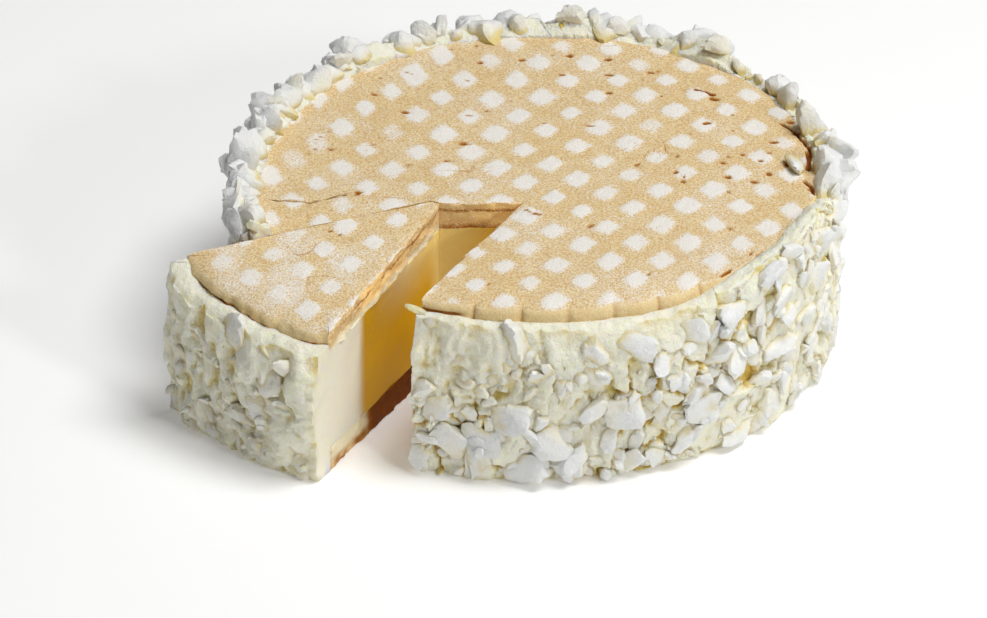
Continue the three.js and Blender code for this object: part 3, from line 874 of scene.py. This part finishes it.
def shard_piece(
    name, material, batches, body, around, along, crispness, seed, keep=None, stop=None, bare=(0.5, 3.2)
):
    """Joins batches of shards into one piece. A point's smear says how much cream covers it: all of
    it at the coat's own surface, none from a few millimetres out, and more beside the notch. Its
    painted seat shade says how near it is to the coat's skin, below the rim, where it is darkened
    golden with painted shade. A stop is a point and direction of a cut that no shard may reach far beyond."""
    points = []
    for b in batches:
        local = chunk_shapes(b.seeds, b.halves, around, along, crispness)
        place = with_height(body.centre + b.radius[:, None] * unit(b.angle), b.height)
        points.append(np.einsum("nij,nvj->nvi", b.turns, local) + place[:, None])
    points = np.concatenate(points)
    if keep is not None:
        points = points[keep(points)]
    lowest = points[..., 2].min(1)
    points[..., 2] += np.maximum(0.2 - lowest, 0)[:, None]
    if stop is not None:
        start, outwards = stop
        beyond = ((points[..., :2] - start) @ outwards).max(1)
        along_cut = (start - points[..., :2].mean(1)) @ [outwards[1], -outwards[0]]
        near = (along_cut > STOP_START) & (beyond < STOP_DEPTH)
        points[..., :2] -= (np.maximum(beyond - STOP_ROOM, 0) * near)[:, None, None] * outwards
    away = points[..., :2] - body.centre
    angle, z = heading(away), points[..., 2]
    rim = body.rim(angle)
    far = np.linalg.norm(away, axis=-1)
    out = far - (body.wall(angle) + np.interp(z / rim, FOOT_SHARE, FOOT_OFFSET))
    hidden = SMEAR_DEPTH * smeared_share(angle, z)
    smear = 1 - smooth(*bare, out - hidden + 1.3 * grain(points, 4, seed))
    smear = smear * between(0.35, 1, smooth(-0.4, 0.3, grain(points, 9, seed + 1)))
    skin, _ = coat_skin(angle, z, rim, body)
    # Painted shade where a shard sits against the coat's skin, below the rim.
    painted_seat_shade = (1 - smooth(-0.6, 1.5, far - skin)) * (1 - smooth(-1.5, 1.5, z - rim))
    faces = chunk_faces(len(points), around, along)
    painted_hollow_shade = 0 * painted_seat_shade + 0.5  # cream pieces get painted hollow shade at half strength
    fields = {"smear": smear, "painted_seat_shade": painted_seat_shade, "painted_hollow_shade": painted_hollow_shade}
    return put_mesh(name, points.reshape(-1, 3), faces, material, fields, body.sag, sharp=36)


def wall_batch(columns, rows, first, last, body):
    """The large shards of the wall, in the solids' own places: in rows, every other row moved by half
    a column, each moved a little by chance. They are smaller at the notch's corner and large beside
    it, sunk where the coat is smeared, and on the slice they are sunk and stand upright."""
    i = np.arange(columns * rows)
    row = i // columns
    across = i % columns + 0.25 + 0.5 * (row % 2) + 0.6 * (chance(i, 8) - 0.5)
    angle = between(first, last, across / columns)
    height = between(2, body.rim(angle) - 2, (row + 0.5 + 0.6 * (chance(i, 9) - 0.5)) / rows)
    size = between(0.72, 1.12, chance(i, 5))
    if body is CAKE:
        beside_notch = np.exp(-(((angle + 99) / 9) ** 2)) * smooth(42, 26, height)
        size = size * between(0.6, 1, smooth(-118, -107, angle)) * (1 + 0.15 * beside_notch)
        out = 0.2 + 1.6 * beside_notch - 5.0 * smeared_share(angle, height)
        spin = 2 * np.pi
    else:
        out, spin = 0.2 - 2.5, 0.9
    width = between(8, 12.5, chance(i, 6)) * size
    depth = between(3.8, 7.5, chance(i, 7)) * size
    return Shards(i, SHARD_LENGTH * size, width, depth, angle, body.wall(angle) + out, height, 0.5, spin)


# How crowded with meringue the rim is, by angle: little on the right, where smooth cream shows.
CROWDING_ANGLE = [-60, -50, -14, -8, 14, 20, 58, 70, 130, 150]
CROWDING = [1, 0.12, 0.12, 0.5, 0.5, 0.25, 0.3, 0.5, 0.55, 0.8]


def thinned(i, angle):
    """Those numbers and angles of shards that stay, where the rim isn't crowded with meringue."""
    stays = chance(i, 28) < np.interp(angle, CROWDING_ANGLE, CROWDING)
    return i[stays], angle[stays]


def rim_batch(count, first, last):
    """The large shards on the rim, in the solids' own places, lower at the front's right end."""
    i = np.arange(count)
    i, angle = thinned(i, between(first, last, (i + 0.7 * chance(i + 500, 8)) / count))
    seed = i + 500
    size = between(0.7, 1.1, chance(seed, 9))
    radius = LID_RADIUS + bulge(angle) + between(3.5, 9.5, chance(seed, 4))
    height = rim_height(angle) + between(-2, 1, chance(seed, 5)) - 3 * (1 - smooth(-30, -18, angle))
    return Shards(seed, SHARD_LENGTH * size, 11 * size, 7.5 * size, angle, radius, height, 1.2)


GOLDEN = 0.6180339887  # steps of this share spread heights evenly


def scattered_batch(count, seed, first, last, body, length, depth, stand, tip):
    """Smaller bits all over the wall: angle and height spread evenly with chance moves, each lying
    on the coat's own skin or sunk into it, by stand times its depth. Few are long."""
    i = seed + np.arange(count)
    angle = between(first, last, (np.arange(count) + 0.9 * chance(i, 21)) / count)
    free = 1.5 + 11 * (front_share(angle) if body is CAKE else 1)
    height = between(1.5, body.rim(angle) - free, (np.arange(count) * GOLDEN + 0.35 * chance(i, 22)) % 1)
    long = between(*length, between(0, 1, chance(i, 23) ** 1.6))
    skin, _ = coat_skin(angle, height, body.rim(angle), body)
    skin = skin - 2.6 * smeared_share(angle, height)
    thin = between(*depth, chance(i, 25))
    wide = long * between(0.45, 0.95, chance(i, 24))
    return Shards(i, long, wide, thin, angle, skin + stand * thin, height, tip)


def crest_batch(count, seed, first, last, length, thick):
    """Shards crowded along the high rim, tipped every way and lower towards its outside."""
    i = seed + np.arange(count)
    i, angle = thinned(i, between(first, last, (np.arange(count) + 0.9 * chance(i, 21)) / count))
    size = between(*length, chance(i, 23))
    across = chance(i, 26)
    right = 1 - smooth(40, 62, angle)
    radius = LID_RADIUS + bulge(angle) + between(2.5, between(10, 7, right), across)
    height = rim_height(angle) + between(-3.2, 0.8, chance(i, 27))
    height = height - 6.0 * smooth(0.55, 1, across) - 3 * right
    wide = size * between(0.6, 0.9, chance(i, 24))
    return Shards(i, size, wide, size * between(*thick, chance(i, 25)), angle, radius, height, 1.0)


# Three large pieces on the right of the rim.
RIM_CHUNKS = Shards(
    seeds=[611, 612, 613], length=[23, 24, 16], width=[11, 13, 11], depth=[9, 12, 8],
    angle=[15, -1.5, 27], radius=[108, 109, 109.5], height=[76, 74, 76], tip=0.3, spin=0.4,
)
# One smooth, long bit that has rolled onto the lid.
LOOSE_BIT = Shards(
    seeds=[641], length=[14], width=[6.5], depth=[5], angle=[-1], radius=[98], height=[TOP + 1.6],
    turns=turning(np.radians([112.0]), 2),
)
# A thin point of cream that the knife pulled out of the front corner beside the notch.
CORNER_POINT = Shards(
    seeds=[702], length=[12], width=[4.2], depth=[2], angle=[-115.9], radius=[113], height=[69.2],
    turns=turning(np.radians([158.0]), 2) @ turning(np.radians([-14.0]), 1),
)


# ---- materials ----
def colour(text):
    """A linear colour with alpha from a #rrggbb sRGB value."""
    part = [int(text[k : k + 2], 16) / 255 for k in (1, 3, 5)]
    return (*[c / 12.92 if c <= 0.04045 else ((c + 0.055) / 1.055) ** 2.4 for c in part], 1)


MIX_FACTOR, MIX_A, MIX_B, MIX_OUT = 0, 6, 7, 2  # a colour mix's sockets
MIXED = {"data_type": "RGBA", "out": MIX_OUT}
TIMES = {"operation": "MULTIPLY"}
TIMES_PLUS = {"operation": "MULTIPLY_ADD"}


def fill(tree, node, inputs):
    """Gives a node its inputs: links, values or colours as text, by socket or in the sockets' order."""
    for socket, value in inputs.items() if isinstance(inputs, dict) else enumerate(inputs):
        if isinstance(value, bpy.types.NodeSocket):
            tree.links.new(value, node.inputs[socket])
        else:
            node.inputs[socket].default_value = colour(value) if isinstance(value, str) else value


def add(tree, kind, inputs=(), out=0, **settings):
    """Adds one node with its settings and inputs, and gives one of its outputs."""
    made = tree.nodes.new("ShaderNode" + kind)
    for key, value in settings.items():
        setattr(made, key, value)
    fill(tree, made, inputs)
    return made.outputs[out]


def blank(name, *fields):
    """A new material with a Principled shader, its tree, Object coordinates, and the piece's fields."""
    material = bpy.data.materials.new(name)
    material.use_nodes = True
    tree = material.node_tree
    place = add(tree, "TexCoord", out="Object")
    read = [add(tree, "Attribute", out="Fac", attribute_name=field) for field in fields]
    return material, tree, tree.nodes["Principled BSDF"], place, *read


def per_mm(size):
    """Noise scale that gives features of that many millimetres on Object coordinates."""
    return 1 / (size * MM)


def biscuit_material():
    """Nut-meringue biscuit: egg white and ground nuts, piped and baked dry. Its skin is matt, sandy
    and golden tan, its pits and torn edges caramel brown, and icing sugar is sieved over it. Deep in
    the notch its cut gets painted golden light, which also glows, and its browns also serve as
    painted shade."""
    material, tree, shader, place, sugar, brown_and_shade, cut, layer, painted_slit_shade_and_glow, side, pale = blank(
        "nut_meringue_biscuit", "sugar", "brown_and_shade", "cut", "layer", "painted_slit_shade_and_glow", "side", "pale"
    )
    sand = add(tree, "TexNoise", {"Vector": place, "Scale": per_mm(0.9), "Detail": 3, "Roughness": 0.65})
    mottle = add(tree, "TexNoise", {"Vector": place, "Scale": per_mm(9), "Detail": 3})

    # The skin: tan in soft patches with darker grains, which are fewer on the round side.
    skin = add(tree, "Mix", {MIX_FACTOR: mottle, MIX_A: "#e0c187", MIX_B: "#f1ddac"}, **MIXED)
    darker = add(tree, "MapRange", [sand, 0.40, 0.56, 0.6, 0.0])
    even = add(tree, "Math", [side, -0.7, 1.0], **TIMES_PLUS)
    grains = add(tree, "Math", [darker, even], **TIMES)
    grainy = add(tree, "Mix", {MIX_FACTOR: grains, MIX_A: skin, MIX_B: "#c08c42"}, **MIXED)

    # The cut: paler crumb, painted golden light deep in the notch, and patches of cream dragged over it.
    crumb = add(tree, "MapRange", [sand, 0.3, 0.7])
    inside = add(tree, "Mix", {MIX_FACTOR: crumb, MIX_A: "#cfa25e", MIX_B: "#efd8a6"}, **MIXED)
    painted_slit_light = add(tree, "Mix", {MIX_FACTOR: painted_slit_shade_and_glow, MIX_A: inside, MIX_B: "#f4cd84"}, **MIXED)
    dragged = add(tree, "Math", [pale, mottle])
    patches = add(tree, "MapRange", [dragged, 0.6, 1.3, 0.0, 0.95])
    creamy = add(tree, "Mix", {MIX_FACTOR: patches, MIX_A: painted_slit_light, MIX_B: "#efe6c4"}, **MIXED)
    crust = add(tree, "Mix", {MIX_FACTOR: cut, MIX_A: grainy, MIX_B: creamy}, **MIXED)

    # Brown seams in the cut, one at its foot and one high up that comes and goes, both wobbling.
    wobble = add(tree, "Math", [mottle, 0.34, -0.17], **TIMES_PLUS)
    jitter = add(tree, "Math", [sand, 0.30, -0.15], **TIMES_PLUS)
    drift = add(tree, "Math", [wobble, jitter])
    level = add(tree, "Math", [layer, drift])
    foot = add(tree, "MapRange", [level, 0.0, 0.2, 0.8, 0.0])
    below = add(tree, "MapRange", [level, 0.66, 0.74])
    above = add(tree, "MapRange", [level, 0.75, 0.84, 1.0, 0.0])
    band = add(tree, "Math", [below, above], **TIMES)
    broken = add(tree, "MapRange", [mottle, 0.40, 0.60, 0.25, 0.9])
    high_seam = add(tree, "Math", [band, broken], **TIMES)
    clear = add(tree, "Math", [pale, -2.5, 1.0], use_clamp=True, **TIMES_PLUS)
    low_seam = add(tree, "Math", [foot, clear], **TIMES)
    seams = add(tree, "Math", [low_seam, high_seam], operation="MAXIMUM")
    seam = add(tree, "Math", [seams, cut], **TIMES)

    # Caramel brown in seams, pits and breaks, and nearly burnt in the deepest of them; the same browns are
    # painted shade on the base in the slit and at the slice lid's foot.
    toasted_and_shaded = add(tree, "Math", [seam, brown_and_shade], operation="MAXIMUM")
    uneven = add(tree, "Math", [sand, 1.2, 0.75], **TIMES_PLUS)
    browned_and_shaded = add(tree, "Math", [toasted_and_shaded, uneven], use_clamp=True, **TIMES)
    caramel_and_shade = add(tree, "Mix", {MIX_FACTOR: browned_and_shaded, MIX_A: crust, MIX_B: "#a2610f"}, **MIXED)
    burnt_and_shaded = add(tree, "MapRange", [brown_and_shade, 0.85, 1.2, 0.0, 0.8])
    baked = add(tree, "Mix", {MIX_FACTOR: burnt_and_shaded, MIX_A: caramel_and_shade, MIX_B: "#6b3409"}, **MIXED)

    # Icing sugar: heaps from the sieve and a thin fall on the top, both peppered, less over dark
    # grains, and none in pits and breaks.
    speck = add(tree, "TexNoise", {"Vector": place, "Scale": per_mm(0.65), "Detail": 2, "Roughness": 0.7})
    patchy = add(tree, "TexNoise", {"Vector": place, "Scale": per_mm(38), "Detail": 2})
    dust = add(tree, "MapRange", [patchy, 0.4, 0.68, 0.12, 0.34])
    skyward = add(tree, "MapRange", [layer, 0.96, 1.0])
    fallen = add(tree, "Math", [dust, skyward], **TIMES)
    heap = add(tree, "Math", [sugar, fallen])
    peppered = add(tree, "Math", [speck, 2.5, -1.25], **TIMES_PLUS)
    dusted = add(tree, "Math", [heap, peppered])
    thick = add(tree, "MapRange", [dusted, 0.24, 0.70, 0.0, 0.95])
    unbroken = add(tree, "Math", [brown_and_shade, -1.6, 1.0], use_clamp=True, **TIMES_PLUS)
    lying = add(tree, "Math", [thick, unbroken], **TIMES)
    thinner = add(tree, "Math", [darker, -0.25, 1.0], **TIMES_PLUS)
    powder = add(tree, "Math", [lying, thinner], **TIMES)
    white = add(tree, "Mix", {MIX_FACTOR: powder, MIX_A: baked, MIX_B: "#f3f1ec"}, **MIXED)

    # Painted glow: the cut deep in the notch gives off a little light, though it is no lamp.
    painted_glow = add(tree, "Math", [painted_slit_shade_and_glow, 0.15], **TIMES)
    coarse = add(tree, "Bump", {"Height": sand, "Strength": 0.6, "Distance": 0.7 * MM})
    fill(tree, shader, {"Base Color": white, "Emission Color": white, "Emission Strength": painted_glow})
    fill(tree, shader, {"Roughness": 0.85, "Specular IOR Level": 0.25, "Normal": coarse})
    return material


def buttercream_material():
    """Vanilla buttercream, spread by hand and cut with a knife: fat, smooth, ivory and slightly
    see-through. Its clefts and hollows get painted golden shade, its cut gets painted light near the
    slice's tip, which also glows, and painted amber shade deep in the notch."""
    material, tree, shader, place, deep, painted_hollow_shade, slit_shade, cut, painted_cut_light, stroke = blank(
        "vanilla_buttercream", "deep", "painted_hollow_shade", "painted_slit_shade_and_glow", "cut", "painted_cut_light", "stroke"
    )
    cloud = add(tree, "TexNoise", {"Vector": place, "Scale": per_mm(12), "Detail": 3})
    spread = add(tree, "Mix", {MIX_FACTOR: cloud, MIX_A: "#f4f0d6", MIX_B: "#fbf8e8"}, **MIXED)
    # Painted shade: darker yellow in hollows, and golden in clefts.
    hollow_shade_share = add(tree, "Math", [painted_hollow_shade, 0.75], **TIMES)
    shaded = add(tree, "Mix", {MIX_FACTOR: hollow_shade_share, MIX_A: spread, MIX_B: "#dac142"}, **MIXED)
    cleft = add(tree, "MapRange", [deep, 0.35, 1.0, 0.0, 0.85])
    cleft_shaded = add(tree, "Mix", {MIX_FACTOR: cleft, MIX_A: shaded, MIX_B: "#e4bb2a"}, **MIXED)

    # The cut: painted light near the slice's tip, and painted amber shade deep in the notch.
    sliced = add(tree, "Mix", {MIX_FACTOR: cut, MIX_A: cleft_shaded, MIX_B: "#eae5d1"}, **MIXED)
    tip_lit = add(tree, "Mix", {MIX_FACTOR: painted_cut_light, MIX_A: sliced, MIX_B: "#eddb96"}, **MIXED)
    slit_shaded = add(tree, "Mix", {MIX_FACTOR: slit_shade, MIX_A: tip_lit, MIX_B: "#d8a814"}, **MIXED)
    # Painted glow: the cut near the slice's tip gives off a little light, though it is no lamp.
    painted_glow = add(tree, "Math", [painted_cut_light, 0.16], **TIMES)

    # Fine lumps where it is spread, and faint knife strokes where it is cut.
    fine = add(tree, "TexNoise", {"Vector": place, "Scale": per_mm(3.2), "Detail": 5, "Roughness": 0.68})
    strokes = add(tree, "TexNoise", {"W": stroke, "Scale": 1.1, "Detail": 2}, noise_dimensions="1D")
    faint = add(tree, "Math", [strokes, 0.09], **TIMES)
    surface = add(tree, "Mix", {0: cut, 2: fine, 3: faint})
    bump = add(tree, "Bump", {"Height": surface, "Strength": 0.8, "Distance": 2.4 * MM})
    fill(tree, shader, {"Base Color": slit_shaded, "Emission Color": slit_shaded, "Emission Strength": painted_glow})
    fill(tree, shader, {"Roughness": 0.5, "IOR": 1.46, "Subsurface Weight": 0.6, "Normal": bump})
    fill(tree, shader, {"Subsurface Radius": (1.0, 0.85, 0.25), "Subsurface Scale": 3 * MM})
    return material


def meringue_material():
    """Dry white meringue, broken by hand: chalky and matt, with tiny air holes in its broken faces,
    smeared with cream where it sits in the coat, and darkened golden there with painted shade."""
    material, tree, shader, place, smear, painted_seat_shade = blank("dry_meringue", "smear", "painted_seat_shade")
    fine = add(tree, "TexNoise", {"Vector": place, "Scale": per_mm(2.0), "Detail": 5, "Roughness": 0.7})
    patch = add(tree, "TexNoise", {"Vector": place, "Scale": per_mm(5), "Detail": 2})
    chalk = add(tree, "Mix", {MIX_FACTOR: patch, MIX_A: "#e7e8e5", MIX_B: "#f3f3f1"}, **MIXED)
    creamed = add(tree, "Mix", {MIX_FACTOR: smear, MIX_A: chalk, MIX_B: "#f2efdf"}, **MIXED)
    # Painted golden shade where the shard sits in the coat.
    seat_shade_share = add(tree, "Math", [painted_seat_shade, 0.75], **TIMES)
    shaded = add(tree, "Mix", {MIX_FACTOR: seat_shade_share, MIX_A: creamed, MIX_B: "#dcc252"}, **MIXED)
    bump = add(tree, "Bump", {"Height": fine, "Strength": 0.7, "Distance": 1.4 * MM})
    fill(tree, shader, {"Base Color": shaded, "Roughness": 0.75, "Specular IOR Level": 0.3})
    fill(tree, shader, {"Normal": bump, "Subsurface Weight": 0.2, "Subsurface Scale": 2 * MM})
    fill(tree, shader, {"Subsurface Radius": (1.0, 0.9, 0.7)})
    return material


def studio_floor_material():
    """Seamless white studio paper, faintly lit from beneath so that it stays white in the picture."""
    material, tree, shader, _ = blank("white_paper")
    fill(tree, shader, {"Base Color": "#f4f4f3", "Roughness": 0.9})
    fill(tree, shader, {"Emission Color": "#ffffff", "Emission Strength": 0.16})
    return material


# ---- camera, light and floor, in metres and watts ----
CAMERA_PLACE = (-20.22 * MM, -1702.25 * MM, 1044.88 * MM)
CAMERA_DOWN, CAMERA_ROLL = 31.368, 0.3689
FLOOR_SIDE, FLOOR_HEIGHT = 6.0, -0.0003


def make_camera():
    """At the photograph's viewing angle, slightly rolled."""
    lens = bpy.data.cameras.new("camera")
    lens.lens = 182.4
    lens.sensor_width = 36
    lens.clip_end = 20
    camera = bpy.data.objects.new("camera", lens)
    tilt = Matrix.Rotation(math.radians(90 - CAMERA_DOWN), 4, "X")
    roll = Matrix.Rotation(math.radians(CAMERA_ROLL), 4, "Z")
    camera.matrix_world = Matrix.Translation(CAMERA_PLACE) @ tilt @ roll
    bpy.context.scene.collection.objects.link(camera)
    bpy.context.scene.camera = camera


def make_light(name, place, size, power):
    """A square soft box that faces the cake."""
    lamp = bpy.data.lights.new(name, "AREA")
    lamp.size = size
    lamp.energy = power
    soft_box = bpy.data.objects.new(name, lamp)
    soft_box.location = place
    soft_box.rotation_euler = Vector(place).to_track_quat("Z", "Y").to_euler()
    bpy.context.scene.collection.objects.link(soft_box)


def make_studio():
    make_camera()
    make_light("top_light", (0.9, -0.20, 2.3), 1.1, 47.5)
    make_light("side_light", (1.0, -1.15, 0.9), 0.22, 7)
    world = bpy.data.worlds.new("studio")
    bpy.context.scene.world = world
    world.use_nodes = True
    world.node_tree.nodes["Background"].inputs["Color"].default_value = (1, 1, 1, 1)
    world.node_tree.nodes["Background"].inputs["Strength"].default_value = 0.12
    bpy.context.scene.view_settings.view_transform = "Standard"
    mesh = bpy.data.meshes.new("studio_floor")
    signs = [(-1, -1), (1, -1), (1, 1), (-1, 1)]
    mesh.from_pydata([(x * FLOOR_SIDE, y * FLOOR_SIDE, FLOOR_HEIGHT) for x, y in signs], [], [(0, 1, 2, 3)])
    mesh.materials.append(studio_floor_material())
    floor = bpy.data.objects.new("studio_floor", mesh)
    bpy.context.scene.collection.objects.link(floor)


# ---- the cake ----
def crack_end(crack):
    """Where the crack's line, from 60 mm inside its last point, leaves the lid to the left."""
    return meeting(crack[-1] + [60, 0], 180, cake_lid, CAKE_CENTRE)


def make_biscuits(biscuit):
    """The cake's biscuits: the lid round the notch, its splinter beyond the crack, and the base."""
    corners = cake_corners(cake_lid)
    crack_back = CRACK + [0, CRACK_WIDTH / 2]
    lid_corners = [crack_end(crack_back), *crack_back[::-1][1:-1], NOTCH_BEND, NOTCH_TIP, corners[-1]]
    lid = lid_piece("lid_top", biscuit, CAKE, CAKE_HUB, lid_corners, front_share, CAKE_SIEVE, seed=3)
    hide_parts("lid_biscuit")
    crack_front = CRACK - [0, CRACK_WIDTH / 2]
    splinter_tip = CUT_START + [-1.2, -0.1]
    splinter_corners = [corners[0], splinter_tip, *crack_front[1:-1], crack_end(crack_front)]
    splinter = lid_piece(
        "lid_splinter_top", biscuit, CAKE, SPLINTER_HUB, splinter_corners, always_low, CAKE_SIEVE,
        seed=3, rows=26,
    )
    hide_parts("lid_splinter")
    base = base_piece("base_cut", biscuit, CAKE, seed=40)
    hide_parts("base_biscuit")


def make_coat(cream, meringue):
    """The cake's cream and all the meringue on it, from large to small."""
    stop = (NOTCH_TIP, unit(NOTCH_RIGHT_ANGLE - 90))
    coat = cream_piece("cream_coat", cream, CAKE)
    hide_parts("cream")
    batches = [
        wall_batch(columns=31, rows=5, first=-118, last=208, body=CAKE),
        rim_batch(count=38, first=-52, last=205),
    ]
    large = shard_piece(
        "large_meringue", meringue, batches, CAKE, around=18, along=11, crispness=20, seed=70, stop=stop
    )
    batches = [
        scattered_batch(430, 2000, -116, 205, CAKE, length=(5, 11.5), depth=(3, 4.6), stand=0, tip=0.6),
        crest_batch(60, 3500, -20, 200, length=(5, 8), thick=(0.4, 0.6)),
    ]
    middling = shard_piece(
        "middling_meringue", meringue, batches, CAKE, around=12, along=7, crispness=16, seed=71, stop=stop
    )
    batches = [crest_batch(140, 3800, -18, 201, length=(10, 18), thick=(0.45, 0.7)), RIM_CHUNKS]
    lumps = shard_piece(
        "rim_meringue", meringue, batches, CAKE, around=18, along=11, crispness=10, seed=75, bare=(-7, 0)
    )
    batches = [
        scattered_batch(420, 6000, -115, 205, CAKE, length=(1.6, 3.6), depth=(1.2, 2.2), stand=0, tip=1.2)
    ]
    crumbs = shard_piece(
        "meringue_crumbs", meringue, batches, CAKE, around=7, along=4, crispness=10, seed=72, stop=stop
    )
    loose = shard_piece(
        "loose_bit", meringue, [LOOSE_BIT], CAKE, around=24, along=16, crispness=4, seed=79, bare=(-60, -50)
    )
    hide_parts("loose_meringue")
    spike = shard_piece(
        "torn_cream_point", cream, [CORNER_POINT], CAKE, around=10, along=9, crispness=3.5, seed=78
    )


def wholly_on_slice(points):
    """Which shards lie wholly on the slice's side of both cuts."""
    xy = points[..., :2] - SLICE_TIP
    left = xy @ unit(SLICE_LEFT_ANGLE + 90)
    right = xy @ unit(SLICE_RIGHT_ANGLE - 90)
    return (left.min(1) > 0.2) & (right.min(1) > 0.2)


def make_slice(biscuit, cream, meringue):
    corners = slice_corners(slice_lid)
    lid = lid_piece(
        "slice_lid_top", biscuit, SLICE, SLICE_HUB, corners, always_front, SLICE_SIEVE, seed=13, rows=60
    )
    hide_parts("slice_lid_biscuit")
    base = base_piece("slice_base_cut", biscuit, SLICE, seed=50)
    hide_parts("slice_base_biscuit")
    coat = cream_piece("slice_cream_coat", cream, SLICE)
    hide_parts("slice_cream")
    batches = [wall_batch(columns=8, rows=5, first=198, last=258, body=SLICE)]
    large = shard_piece(
        "slice_large_meringue", meringue, batches, SLICE, around=18, along=11, crispness=6, seed=73,
        keep=wholly_on_slice, bare=(3.5, 8),
    )
    batches = [
        scattered_batch(28, 9300, 208, 254, SLICE, length=(4, 9), depth=(2.6, 4.2), stand=-0.1, tip=0.6),
        scattered_batch(24, 9500, 208, 254, SLICE, length=(1.8, 3.6), depth=(1.4, 2.4), stand=0, tip=1.2),
    ]
    small = shard_piece(
        "slice_small_meringue", meringue, batches, SLICE, around=10, along=6, crispness=7, seed=74,
        keep=wholly_on_slice, bare=(2.5, 6),
    )


make_studio()
biscuit, cream, meringue = biscuit_material(), buttercream_material(), meringue_material()
make_biscuits(biscuit)
make_coat(cream, meringue)
make_slice(biscuit, cream, meringue)
